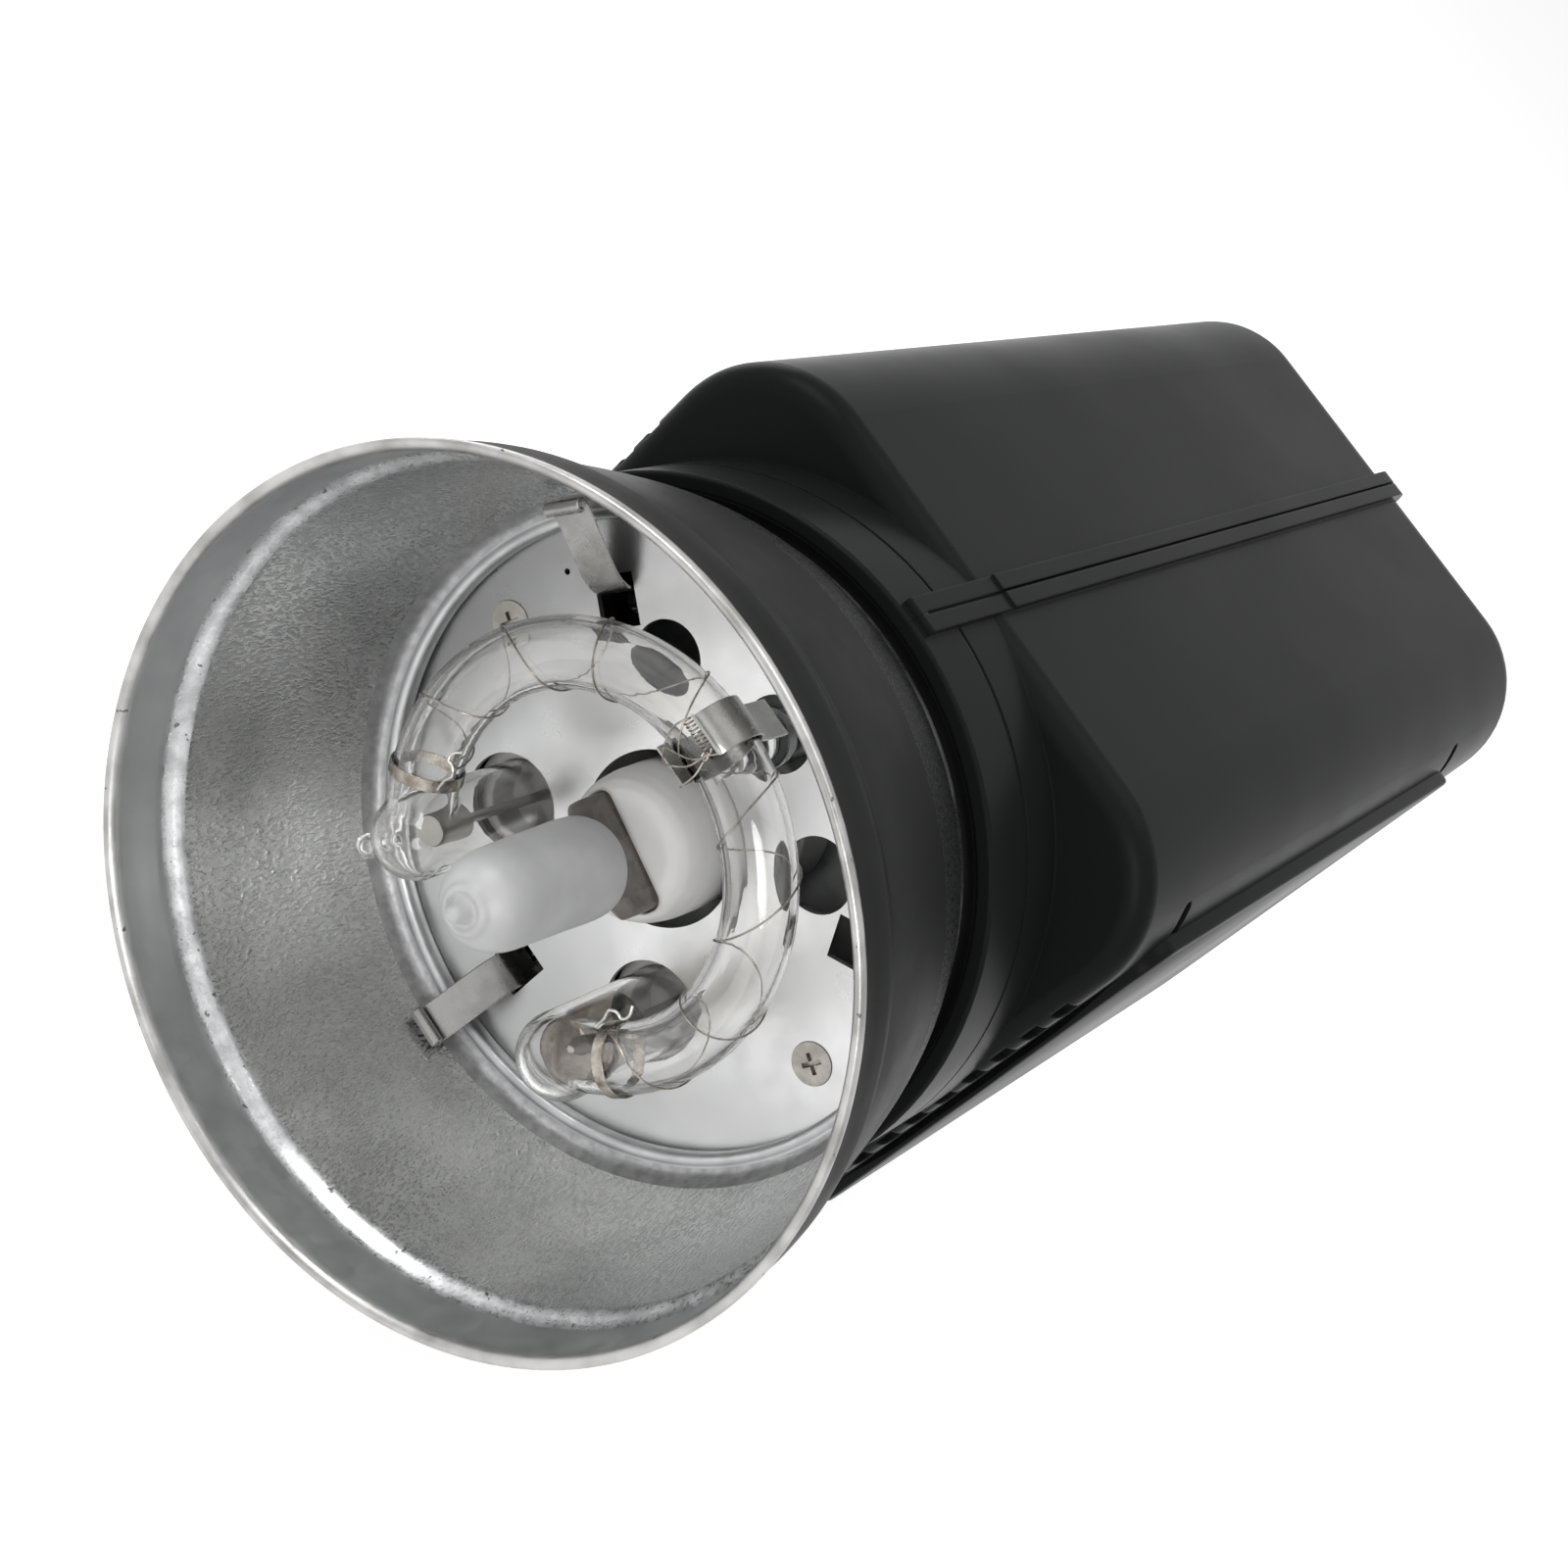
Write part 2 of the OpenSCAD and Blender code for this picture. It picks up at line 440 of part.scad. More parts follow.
module cap_strap() frame() color("#a3a5a6") for (y = [for (c = cap_y) c + cap_l / 2 - 6]) {
  for (k = [0, 1]) mirror([k, 0, 0]) {
    box(cap_x + cap_r + 0.02, cap_x + cap_r + 0.9, y, y + 12, floor_z + sheet, cap_z);
    slab(y, y + 12) translate([cap_x, cap_z]) intersection() {
      difference() { circle(cap_r + 0.9, $fn = 64); circle(cap_r + 0.02, $fn = 64); }
      square(40);
    }
  }
  box(-cap_x, cap_x, y, y + 12, cap_z + cap_r + 0.02, cap_z + cap_r + 0.9);
}
module power_board() frame() {
  color("#1f6b3a") box(-58, 58, chassis_y + 18, chassis_y + 212, board_z, board_z + 1.6);
  color("#c9b27a") for (x = [-40, 40], y = [for (c = cap_y) c + cap_l + 8]) zcyl(x, y, floor_z + sheet, board_z, 2.8, 6);
  translate([0, chassis_y, board_z + 1.6]) {
    color("#9ea2a5") { box(28, 50, 30, 90, 0, 26.4); for (k = [0:4]) box(28 + k * 5, 30 + k * 5, 30, 90, 26.4, 38.4); }
    color("#3b3b40") { box(-50, -30, 40, 66, 0, 14.4); zcyl(-10, 40, 0, 24.4, 9, 32); zcyl(10, 40, 0, 24.4, 9, 32); }
    color("#c9b27a") for (y = [80, 94, 108]) xcyl(y, 5, -20, 20, 5, 24);
  }
}
module trigger_coil() frame() translate([0, chassis_y + sheet, case_hz]) color("#7a2a22") {
  box(-22, 22, 0, 22.5, -58, -32);
  box(-6, 6, 22.5, 26.5, -50, -40);
}
module choke() frame() color("#b5713a") translate([-20, chassis_y + 166, board_z + 1.6]) difference() {
  cylinder(h = 18, r = 21, $fn = 64);
  translate([0, 0, -1]) cylinder(h = 20, r = 10, $fn = 48);
}

// Rear panel and its parts, drawn with Y = 0 at the panel's front face
module rear() frame() translate([0, panel_y, 0]) children();
module hole(p, r) ycyl(p[0], p[1], -2, panel_t + 2, r);
module four(d) for (i = [-1, 1], j = [-1, 1]) translate([i * d, 0, j * d]) children();
fan_at = [-24, -18];
fan_r = fan_w / 2 - 1.8;
fan_h = 25;                  // fan screws, from the fan's axis
lug_r = 1.4144 * fan_h;      // fan guard's lugs
slide_x = -30;
slide_z = [36, 20];
rocker_x = [14, 36];
rocker_z = 33;
cut_x = 14;
cut_z = 20;
test_at = [51, 36];
test_r = 4.4;
ready_at = [54, 20];
ready_r = 2.5;
slave_at = [14, 8];
slave_r = 5;
sync_at = [36, 9];
sync_r = 4.5;
jack_r = 3.25;
breaker_at = [34, -9];
breaker_r = 6;
inlet_at = [34, -34];
pin_at = [[-7, -2], [7, -2], [0, 2]];
spacer_at = [[-56.5, 16.5], [-53, 44.7], [57, 28], [45, 46.4]];
module control_board() rear() {
  color("#1f6b3a") box(-61, 61, -34, -32.4, 2, 51);
  color("#d6d3c8") for (p = spacer_at) ycyl(p[0], p[1], -32.4, 0, 2.6, 24);
  color("#3b3b40") { box(-40, -20, -40, -34, 16, 30); box(0, 30, -39, -34, 12, 32); }
}
module fan_frame() rear() color("#202123") translate([fan_at[0], 0, fan_at[1]]) difference() {
  union() {
    difference() {
      slab(-20, 0) rrect(fan_w, fan_w, 4);
      ycyl(0, 0, -21, 1, fan_r, 96);
    }
    ycyl(0, 0, -20, -17, 12);
    for (a = [45, 135, 225, 315]) rotate([0, a, 0]) box(-1.5, 1.5, -20, -17.5, 10, fan_r + 1);
    ycyl(0, 0, -18, -4, 2, 32);
  }
  four(fan_h) ycyl(0, 0, -21, 1, 2.1, 32);
}
module fan_rotor() rear() color("#2a2b2e") translate([fan_at[0], 0, fan_at[1]]) difference() {
  union() {
    ycyl(0, 0, -16, -3, 12.5);
    // seven pitched blades
    intersection() {
      for (i = [0:6]) rotate([0, i * 360 / 7, 0]) translate([0, -9.5, 0]) rotate([0, 0, 38]) translate([-7.5, -0.7, 10]) cube([15, 1.4, fan_r]);
      ycyl(0, 0, -15.5, -3.5, fan_r - 1.2, 96);
    }
  }
  ycyl(0, 0, -17, -3.6, 2 + run, 32);
  difference() { ycyl(0, 0, -17, -7, 10.5); ycyl(0, 0, -18, -6, 5); }
}
module fan_guard() rear() color("#b3b5b6") translate([fan_at[0], panel_t, fan_at[1]]) {
  for (r = [8, 14.5, 21, 27.5]) translate([0, 1.4, 0]) rotate([-90, 0, 0]) rotate_extrude($fn = 96) translate([r, 0]) circle(0.7, $fn = 16);
  for (a = [45, 135, 225, 315]) rotate([0, a, 0]) {
    translate([0, 0.7, 6]) cylinder(h = lug_r - 5.96, r = 0.7, $fn = 16);
    translate([0, 0, lug_r]) difference() { ycyl(0, 0, 0, 1.2, 3.4, 32); ycyl(0, 0, -1, 0.5, 1.7, 32); }
  }
}
module rear_panel() rear() color("#3a3b3e") difference() {
  slab(0, panel_t) rrect(panel_w - 0.6, panel_w - 0.6, 19.7);
  hole(fan_at, fan_r - 0.2);
  translate([fan_at[0], 0, fan_at[1]]) four(fan_h) hole([0, 0], 1.9);
  for (z = slide_z) slab(-1, panel_t + 1) translate([slide_x, z]) rrect(2 * fader_s + 9, 2.6, 1.2);
  for (x = rocker_x) slab(-1, panel_t + 1) translate([x, rocker_z]) square([cut_x, cut_z], center = true);
  hole(test_at, test_r + 0.7);
  hole(ready_at, ready_r + loose);
  hole(slave_at, slave_r + loose);
  hole(sync_at, sync_r + loose);
  hole(breaker_at, breaker_r + loose);
  slab(-1, panel_t + 1) translate(inlet_at) rrect(27.2, 20, 2);
  four(screw_w) hole([0, 0], 1.7);
}
module panel_screws() rear() color("#1d1d1e") four(screw_w) difference() {
  union() {
    ycyl(0, 0, -7, panel_t, 1.5, 32);
    translate([0, panel_t, 0]) rotate([-90, 0, 0]) cylinder(h = 1.9, r1 = 3.1, r2 = 2.3, $fn = 32);
  }
  for (k = [0, 90]) rotate([0, k + 35, 0]) box(-1.5, 1.5, panel_t + 0.8, panel_t + 3, -0.35, 0.35);
}
module case_screws() frame() color("#1d1d1e") for (b = case_boss) difference() {
  union() {
    xcyl(b[0], b[1], -34, 12, 1.9, 32);
    xcyl(b[0], b[1], -37.2, -34, 3.8, 32);
  }
  for (k = [0, 90]) translate([0, b[0], b[1]]) rotate([k, 0, 0]) box(-38, -35.4, -1.8, 1.8, -0.4, 0.4);
}
rock_y = -5.5;               // depth of the rockers' axis
module bezel(x) rear() difference() {
  union() {
    slab(panel_t, panel_t + 1.6) translate([x, rocker_z]) rrect(cut_x + 3, cut_z + 3, 1.5);
    slab(-18, panel_t) translate([x, rocker_z]) square([cut_x - 0.2, cut_z - 0.2], center = true);
  }
  slab(-13, 10) translate([x, rocker_z]) square([cut_x - 3, cut_z - 3], center = true);
  xcyl(rock_y, rocker_z, x - cut_x / 2 + 0.1, x + cut_x / 2 - 0.1, 1.5 + run, 32);
}
// rocker with its two faces meeting in a shallow V, drawn in its lower position
module rocker(x) rear() translate([0, rock_y, rocker_z]) rotate([-8, 0, 0]) {
  across(x - cut_x / 2 + 1.8, x + cut_x / 2 - 1.8) polygon([[-5.6, -3.4], [-5.6, 3.4], [3.2, 7.1], [panel_t + 6.6, 7.1],
    [panel_t + 5.1, 0], [panel_t + 6.6, -7.1], [3.2, -7.1]]);
  xcyl(0, 0, x - cut_x / 2 + 0.4, x + cut_x / 2 - 0.4, 1.5, 32);
}
module power_bezel() color("#18181a") bezel(rocker_x[0]);
module power_rocker() color("#b02a22") rocker(rocker_x[0]);
module model_bezel() color("#18181a") bezel(rocker_x[1]);
module model_rocker() color("#2c2c2f") rocker(rocker_x[1]);
module slider(z) rear() color("#d8d9da") translate([slide_x, 0, z]) {
  slab(-4, panel_t + 0.5) square([3.2, 2.2], center = true);
  slab(-8, -0.4) square([8, 6], center = true);
  difference() {
    slab(panel_t + 0.4, panel_t + 7) rrect(6, 11, 1.2);
    for (k = [-1, 1]) box(k * 3.1 - 0.5, k * 3.1 + 0.5, panel_t + 2, panel_t + 8, -6, 6);
  }
}
module flash_slider() slider(slide_z[0]);
module model_slider() slider(slide_z[1]);
module test_button() rear() color("#a8231d") translate([test_at[0], 0, test_at[1]]) {
  ycyl(0, 0, -10, panel_t + 4.5, test_r);
  ycyl(0, 0, -3.7, -0.3, test_r + 2);
}
module breaker_body() rear() color("#1b1b1d") translate([breaker_at[0], 0, breaker_at[1]]) difference() {
  union() {
    ycyl(0, 0, -18, panel_t + 4, breaker_r);
    ycyl(0, 0, panel_t, panel_t + 3.4, breaker_r + 2.6);
    ycyl(0, 0, -26, -2, breaker_r + 3.5);
  }
  ycyl(0, 0, -10, panel_t + 8, breaker_r - 1.8);
}
module breaker_button() rear() color("#e3e1da") ycyl(breaker_at[0], breaker_at[1], -6, panel_t + 7, breaker_r - 2.2);
module sync_socket() rear() color("#b4b6b8") translate([sync_at[0], 0, sync_at[1]]) difference() {
  union() {
    ycyl(0, 0, -18, panel_t + 3.5, sync_r);
    slab(panel_t, panel_t + 2.4) circle(6.4, $fn = 6);
    slab(-24, -0.1) square(11.6, center = true);
  }
  ycyl(0, 0, -22, panel_t + 8, jack_r);
}
module ready_lamp() rear() color("#3aa04a") translate([ready_at[0], 0, ready_at[1]]) {
  ycyl(0, 0, -8, panel_t + 1.2, ready_r, 32);
  ycyl(0, 0, panel_t + 1.2, panel_t + 2, ready_r - 0.4, 32);
  ycyl(0, 0, -6, -0.1, ready_r + 0.4, 32);
}
module slave_dome() rear() color("#6a1f2a") translate([slave_at[0], 0, slave_at[1]]) {
  ycyl(0, 0, -4, panel_t, slave_r);
  translate([0, panel_t, 0]) turned(48) intersection() { circle(slave_r + 1.4, $fn = 64); square(slave_r + 3); }
}
module inlet_shell() rear() color("#141416") difference() {
  union() {
    slab(panel_t, panel_t + 2.2) translate(inlet_at) rrect(31, 24, 2.5);
    slab(-20, panel_t) translate(inlet_at) rrect(26.8, 19.6, 2);
  }
  slab(-13, 10) translate(inlet_at) intersection() { square([24.2, 16.4], center = true); rotate(45) square([25, 25], center = true); }
  for (p = pin_at) slab(-21, -12) translate(inlet_at + p) square([2 + loose, 4 + loose], center = true);
}
module inlet_pins() rear() color("#c7c9ca") for (p = pin_at) slab(-24, panel_t - 1) translate(inlet_at + p) square([2, 4], center = true);

// Stand bracket
ear_x = block_w / 2 + 0.4;   // inner face of each ear
ear_t = 8;
ear_r = 15;
foot_z = -case_hz - 6;       // underside of the bracket's plate
bolt_r = 4;
grip_z = 11 - mouth_z;       // stand screw
brolly_z = 32 - mouth_z;     // umbrella hole
module bracket() frame() color("#2f3032") difference() {
  union() {
    upright(foot_z, -case_hz) translate([0, tilt_y]) rrect(2 * bolt_x + 16, 76, 8);
    for (k = [0, 1]) mirror([k, 0, 0]) across(ear_x, ear_x + ear_t) {
      translate([tilt_y, -tilt_z]) circle(ear_r, $fn = 64);
      translate([tilt_y - ear_r, -tilt_z]) square([2 * ear_r, tilt_z + foot_z + 1]);
    }
  }
  // channel over the parting lip
  box(-4.4, 4.4, tilt_y - 60, tilt_y + 60, -case_hz - lip_h - 0.2, -case_hz + 1);
  xcyl(tilt_y, -tilt_z, -40, 40, bolt_r + run);
  for (y = bolt_y, x = [-bolt_x, bolt_x]) zcyl(x, y, foot_z - 6, -case_hz + 6, 2.5 + run);
}
module bracket_screws() frame() color("#8b8d8f") for (y = bolt_y, x = [-bolt_x, bolt_x]) difference() {
  union() { zcyl(x, y, foot_z, floor_z + 1.2, 2.5, 32); zcyl(x, y, foot_z - 3, foot_z, 4.3, 32); }
  zcyl(x, y, foot_z - 4, foot_z - 1.4, 2, 6);
}
module tilt_block() frame() color("#3b3c3f") difference() {
  union() {
    xcyl(tilt_y, -tilt_z, -block_w / 2, block_w / 2, ear_r, 64);
    box(-block_w / 2, block_w / 2, tilt_y - 14, tilt_y + 14, 22 - mouth_z, -tilt_z);
    zcyl(0, tilt_y, -mouth_z, 26 - mouth_z, socket_d / 2 + 5.9, 64);
  }
  xcyl(tilt_y, -tilt_z, -20, 20, bolt_r + run);
  zcyl(0, tilt_y, -mouth_z - 1, 23.5 - mouth_z, socket_d / 2, 64);
  ycyl(0, brolly_z, tilt_y - 30, tilt_y + 30, brolly_d / 2);
  xcyl(tilt_y, grip_z, -20, 2.1 - socket_d / 2, 4 + run);
  xcyl(tilt_y, brolly_z, brolly_d / 2 - 1.3, 20, 2.5 + run, 32);
}
module tilt_bolt() frame() color("#9a9c9e") {
  xcyl(tilt_y, -tilt_z, -ear_x - ear_t - 13.8, ear_x + ear_t + 0.1, bolt_r);
  translate([ear_x + ear_t + 0.1, tilt_y, -tilt_z]) rotate([0, 90, 0]) cylinder(h = 5.4, r = 7.4, $fn = 6);
}
module lobes(r, n, rl) { circle(r, $fn = 48); for (i = [0:n - 1]) rotate(i * 360 / n) translate([r, 0]) circle(rl, $fn = 32); }
module tilt_knob() frame() color("#1a1a1c") translate([-ear_x - ear_t, 0, 0]) difference() {
  union() {
    across(-18.8, -4.8) translate([tilt_y, -tilt_z]) lobes(13.5, 5, 4);
    xcyl(tilt_y, -tilt_z, -5.3, -0.4, 8);
  }
  xcyl(tilt_y, -tilt_z, -14.8, 1, bolt_r + run);
}
module stand_knob() frame() {
  color("#9a9c9e") xcyl(tilt_y, grip_z, -26, -socket_d / 2 - 0.5, 4);
  color("#1a1a1c") { across(-41, -27) translate([tilt_y, grip_z]) lobes(9, 5, 2.8); xcyl(tilt_y, grip_z, -27.5, -18, 6); }
}
module umbrella_screw() frame() {
  color("#9a9c9e") xcyl(tilt_y, brolly_z, brolly_d / 2 + 0.3, block_w / 2 + 3.2, 2.5, 32);
  color("#1a1a1c") difference() {
    xcyl(tilt_y, brolly_z, block_w / 2 + 1.2, block_w / 2 + 14.2, 6, 48);
    for (a = [0:30:330]) translate([0, tilt_y, brolly_z]) rotate([a, 0, 0]) xcyl(0, 6.3, block_w / 2 + 3.2, block_w / 2 + 15.2, 0.8, 16);
  }
}

reflector();
case_left();
case_right();
face_plate();
face_screws();
front_ring();
finger_a();
finger_b();
finger_c();
finger_pins();
finger_springs();
flash_tube();
electrodes();
tube_bands();
trigger_wire();
tube_post();
tube_clip();
clip_spring();
tube_sockets();
lamp_capsule();
lamp_pinch();
lamp_holder();
chassis();
capacitors();
cap_strap();
power_board();
trigger_coil();
choke();
control_board();
fan_frame();
fan_rotor();
fan_guard();
rear_panel();
panel_screws();
case_screws();
power_bezel();
power_rocker();
model_bezel();
model_rocker();
flash_slider();
model_slider();
test_button();
breaker_body();
breaker_button();
sync_socket();
ready_lamp();
slave_dome();
inlet_shell();
inlet_pins();
bracket();
bracket_screws();
tilt_block();
tilt_bolt();
tilt_knob();
stand_knob();
umbrella_screw();
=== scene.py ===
import bpy
import bmesh
import json
from math import sin, cos, pi, radians, hypot
from mathutils import Matrix, Vector

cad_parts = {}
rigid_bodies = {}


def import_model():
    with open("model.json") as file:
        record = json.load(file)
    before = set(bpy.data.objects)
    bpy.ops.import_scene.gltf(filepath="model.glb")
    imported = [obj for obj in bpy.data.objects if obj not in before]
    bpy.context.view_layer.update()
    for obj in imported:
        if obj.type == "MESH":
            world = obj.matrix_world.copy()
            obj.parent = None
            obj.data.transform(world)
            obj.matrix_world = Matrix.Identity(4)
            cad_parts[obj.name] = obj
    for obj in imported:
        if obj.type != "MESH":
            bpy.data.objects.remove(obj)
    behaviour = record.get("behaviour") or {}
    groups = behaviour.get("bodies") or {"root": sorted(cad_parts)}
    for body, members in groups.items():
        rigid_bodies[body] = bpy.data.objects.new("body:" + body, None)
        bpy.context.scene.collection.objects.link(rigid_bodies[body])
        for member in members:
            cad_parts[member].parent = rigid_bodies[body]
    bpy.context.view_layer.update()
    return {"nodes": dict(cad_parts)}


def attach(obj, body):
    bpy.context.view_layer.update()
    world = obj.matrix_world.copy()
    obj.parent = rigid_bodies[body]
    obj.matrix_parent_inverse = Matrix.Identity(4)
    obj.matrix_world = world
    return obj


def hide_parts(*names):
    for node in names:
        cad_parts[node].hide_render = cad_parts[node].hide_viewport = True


for left_over in list(bpy.data.objects):
    bpy.data.objects.remove(left_over)

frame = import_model()

# Camera: the photographer's view into the reflector from in front, above and to one side, with the
# strobe lying so that its right side is towards the bottom of the picture.
eye = bpy.data.cameras.new("eye")
eye.lens = 57.8925
eye.sensor_width = 36.0
eye.sensor_fit = "HORIZONTAL"
eye.clip_start = 0.01
eye.clip_end = 50.0
camera = bpy.data.objects.new("camera", eye)
camera.location = (0.0940924, -0.5477039, 0.4621996)
camera.rotation_euler = (radians(46.75620846), radians(-40.20377332), radians(42.52138679))
bpy.context.collection.objects.link(camera)
bpy.context.scene.camera = camera

# Floor and light: a pale table top and a plain white room, a big soft lamp on the side that is the
# top of the picture, one overhead, one that opens the shadows in the bowl and one on the far side.
room_level, background_level = 0.34, 1.0


def link(tree, kind, values, out=0, **settings):
    """Adds a shader node. values gives its sockets, by name or number, a value or another's output."""
    made = tree.nodes.new("ShaderNode" + kind)
    for key, value in settings.items():
        setattr(made, key, value)
    for key, value in values.items():
        if isinstance(value, bpy.types.NodeSocket):
            tree.links.new(value, made.inputs[key])
        else:
            made.inputs[key].default_value = value
    return made.outputs[out]


def seen_white(tree):
    """1 for rays that show the background itself: to the camera, in a mirror or through glass."""
    ray = tree.nodes.new("ShaderNodeLightPath").outputs
    direct = link(tree, "Math", {0: ray["Is Camera Ray"], 1: ray["Is Glossy Ray"]}, operation="MAXIMUM")
    return link(tree, "Math", {0: direct, 1: ray["Is Transmission Ray"]}, operation="MAXIMUM")


room = bpy.data.worlds.new("room")
room.use_nodes = True
bpy.context.scene.world = room
paint = room.node_tree
level = link(paint, "MapRange", {0: seen_white(paint), 3: room_level, 4: background_level})
paint.links.new(level, paint.nodes["Background"].inputs["Strength"])
paint.nodes["Background"].inputs["Color"].default_value = (1.0, 1.0, 1.0, 1.0)

for name, place, aim, width, watts in (
        ("key", (-1.10, -0.75, 1.20), (0.0, -0.1, 0.16), 0.9, 10.0),
        ("overhead", (0.05, 0.10, 1.65), (0.0, 0.0, 0.16), 1.2, 7.0),
        ("fill", (0.85, -1.35, 0.75), (0.0, -0.12, 0.16), 0.9, 9.0),
        ("far side", (-1.5, 0.75, 0.35), (0.0, 0.05, 0.14), 1.0, 5.0)):
    soft = bpy.data.lights.new(name, "AREA")
    soft.shape = "DISK"
    soft.size = width
    soft.energy = watts
    lamp = bpy.data.objects.new(name, soft)
    lamp.location = place
    lamp.rotation_euler = (Vector(aim) - Vector(place)).to_track_quat("-Z", "Y").to_euler()
    bpy.context.collection.objects.link(lamp)

table_reach, table_drop, table_glow = 12.0, 0.0006, 0.6
table_top = bpy.data.meshes.new("table_top")
bm = bmesh.new()
bmesh.ops.create_grid(bm, x_segments=8, y_segments=8, size=table_reach)
bmesh.ops.translate(bm, verts=bm.verts, vec=(0.0, 0.0, -table_drop))
bm.to_mesh(table_top)
bm.free()
table = bpy.data.objects.new("table", table_top)
bpy.context.collection.objects.link(table)
white = bpy.data.materials.new("white_table")
white.use_nodes = True
paint = white.node_tree
shader = paint.nodes["Principled BSDF"]
shader.inputs["Base Color"].default_value = (0.86, 0.86, 0.86, 1.0)
shader.inputs["Roughness"].default_value = 0.9
shader.inputs["Specular IOR Level"].default_value = 0.1
shader.inputs["Emission Color"].default_value = (1.0, 1.0, 1.0, 1.0)
glow = link(paint, "MapRange", {0: seen_white(paint), 3: 0.0, 4: table_glow})
paint.links.new(glow, shader.inputs["Emission Strength"])
table_top.materials.append(white)

# Reflector: one bowl spun from sheet aluminium, with a rolled rim and a rolled lip that the fingers
# hold. It is lacquered black outside, bare at the rim, the band and the step, and peened in the bowl.
mouth_y, axis_z = -190.0, 160.0
bowl_r, bowl_y, shell_r, shell_y = 83.8, 18.2, 85.2, 18.7
bowl_narrows, bowl_deep = 11.4, 48.4
bowl_curve = ((0, 0), (0.06, 0.1), (0.14, 0.22), (0.23, 0.34), (0.333, 0.463), (0.435, 0.575),
              (0.544, 0.686), (0.66, 0.785), (0.789, 0.88), (1, 1))
rolled_rim = [(88.55, 0.0), (89.0, 0.12), (89.35, 0.6), (89.38, 1.4), (89.15, 2.3), (88.6, 2.95),
              (88.38, 4.0)]
band_outside = [(88.2, 8.0), (88.0, 12.2), (87.7, 14.0), (86.9, 15.8), (86.0, 17.2)]
rolled_lip = [(72.7, 69.4), (71.7, 70.9), (70.6, 71.42), (69.4, 71.45), (68.5, 71.1), (68.1, 70.3),
              (68.0, 69.0), (68.2, 68.0), (68.7, 67.3), (69.5, 67.0), (70.3, 67.2), (71.0, 67.35)]
step_and_band = [(84.3, 17.1), (85.0, 16.1), (85.8, 15.0), (86.3, 13.7), (86.48, 12.0), (86.6, 8.0),
                 (86.78, 3.0), (86.95, 1.6), (87.4, 0.7), (88.0, 0.2)]
rim_inner_r, rim_back = 86.5, 2.2
band_front, band_back, step_back = 2.0, 13.9, 18.2
lip_outer_r, lip_front, peened_back, stipple_front = 71.2, 66.5, 62.5, 50.5

# Where a noise starts and ends to count, for the tone, the gloss, the sparkle and the rubbed patches,
# and how far an eased edge has to turn to be rubbed, as cosines.
tone_span, gloss_span, sparkle_span, patch_span = (0.34, 0.66), (0.3, 0.7), (0.36, 0.64), (0.45, 0.6)
turn_span = (0.995, 0.93)
gloss_share, least_rough, patch_size, speck_edge = 0.31, 0.02, 0.004, 0.04


def at(x, y, z):
    """A point in millimetres from the middle of the reflector's mouth, y back along the light axis."""
    return Vector((x, y + mouth_y, z + axis_z)) / 1000.0


def through(points, steps):
    """A smooth curve through the points, with that many steps between two of them."""
    ends = [points[0]] + list(points) + [points[-1]]
    curve = []
    for a, b, c, d in zip(ends, ends[1:], ends[2:], ends[3:]):
        a, b, c, d = Vector(a), Vector(b), Vector(c), Vector(d)
        for i in range(steps):
            t = i / steps
            curve.append(0.5 * (2 * b + (c - a) * t + (2 * a - 5 * b + 4 * c - d) * t * t
                                + (3 * b - a - 3 * c + d) * t ** 3))
    return curve + [Vector(points[-1])]


def turned(bm, outline, x=0.0, z=0.0, steps=128, closed=False):
    """Spins an outline of (radius, depth) about a line along the light axis, through x and z."""
    row = [bm.verts.new(at(x + p[0], p[1], z)) for p in outline]
    edges = [bm.edges.new(pair) for pair in zip(row, row[1:])]
    if closed:
        edges.append(bm.edges.new((row[-1], row[0])))
    bmesh.ops.spin(bm, geom=row + edges, cent=at(x, 0, z), axis=(0, 1, 0), angle=2 * pi, steps=steps,
                   use_merge=True)
    bmesh.ops.remove_doubles(bm, verts=bm.verts, dist=1e-6)


def piece(name, bm, coats, body="head", stands_for=(), crease=35.0):
    """The finished piece: smooth but for its creases, on its body and in the place of its nodes."""
    bmesh.ops.remove_doubles(bm, verts=bm.verts, dist=1e-6)
    bmesh.ops.recalc_face_normals(bm, faces=bm.faces)
    for face in bm.faces:
        face.smooth = True
    for edge in bm.edges:
        edge.smooth = len(edge.link_faces) == 2 and edge.calc_face_angle(0.0) < radians(crease)
    mesh = bpy.data.meshes.new(name)
    bm.to_mesh(mesh)
    bm.free()
    made = bpy.data.objects.new(name, mesh)
    bpy.context.collection.objects.link(made)
    for coat in coats:
        mesh.materials.append(coat)
    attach(made, body)
    if stands_for:
        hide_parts(*stands_for)
    return made


def cloud(tree, where, size, detail=3.0, rough=0.55):
    """Soft blotches about that many metres across, from 0 to 1."""
    return link(tree, "TexNoise",
                {"Vector": where, "Scale": 1.0 / size, "Detail": detail, "Roughness": rough})


def ramp(tree, value, low, high, start=0.0, end=1.0):
    """start where value is low, end where it is high, and smooth between."""
    return link(tree, "MapRange", {0: value, 1: low, 2: high, 3: start, 4: end},
                interpolation_type="SMOOTHSTEP")


def between(tree, share, first, second):
    """Mixes two colours."""
    return link(tree, "Mix", {0: share, 6: first, 7: second}, out=2, data_type="RGBA")


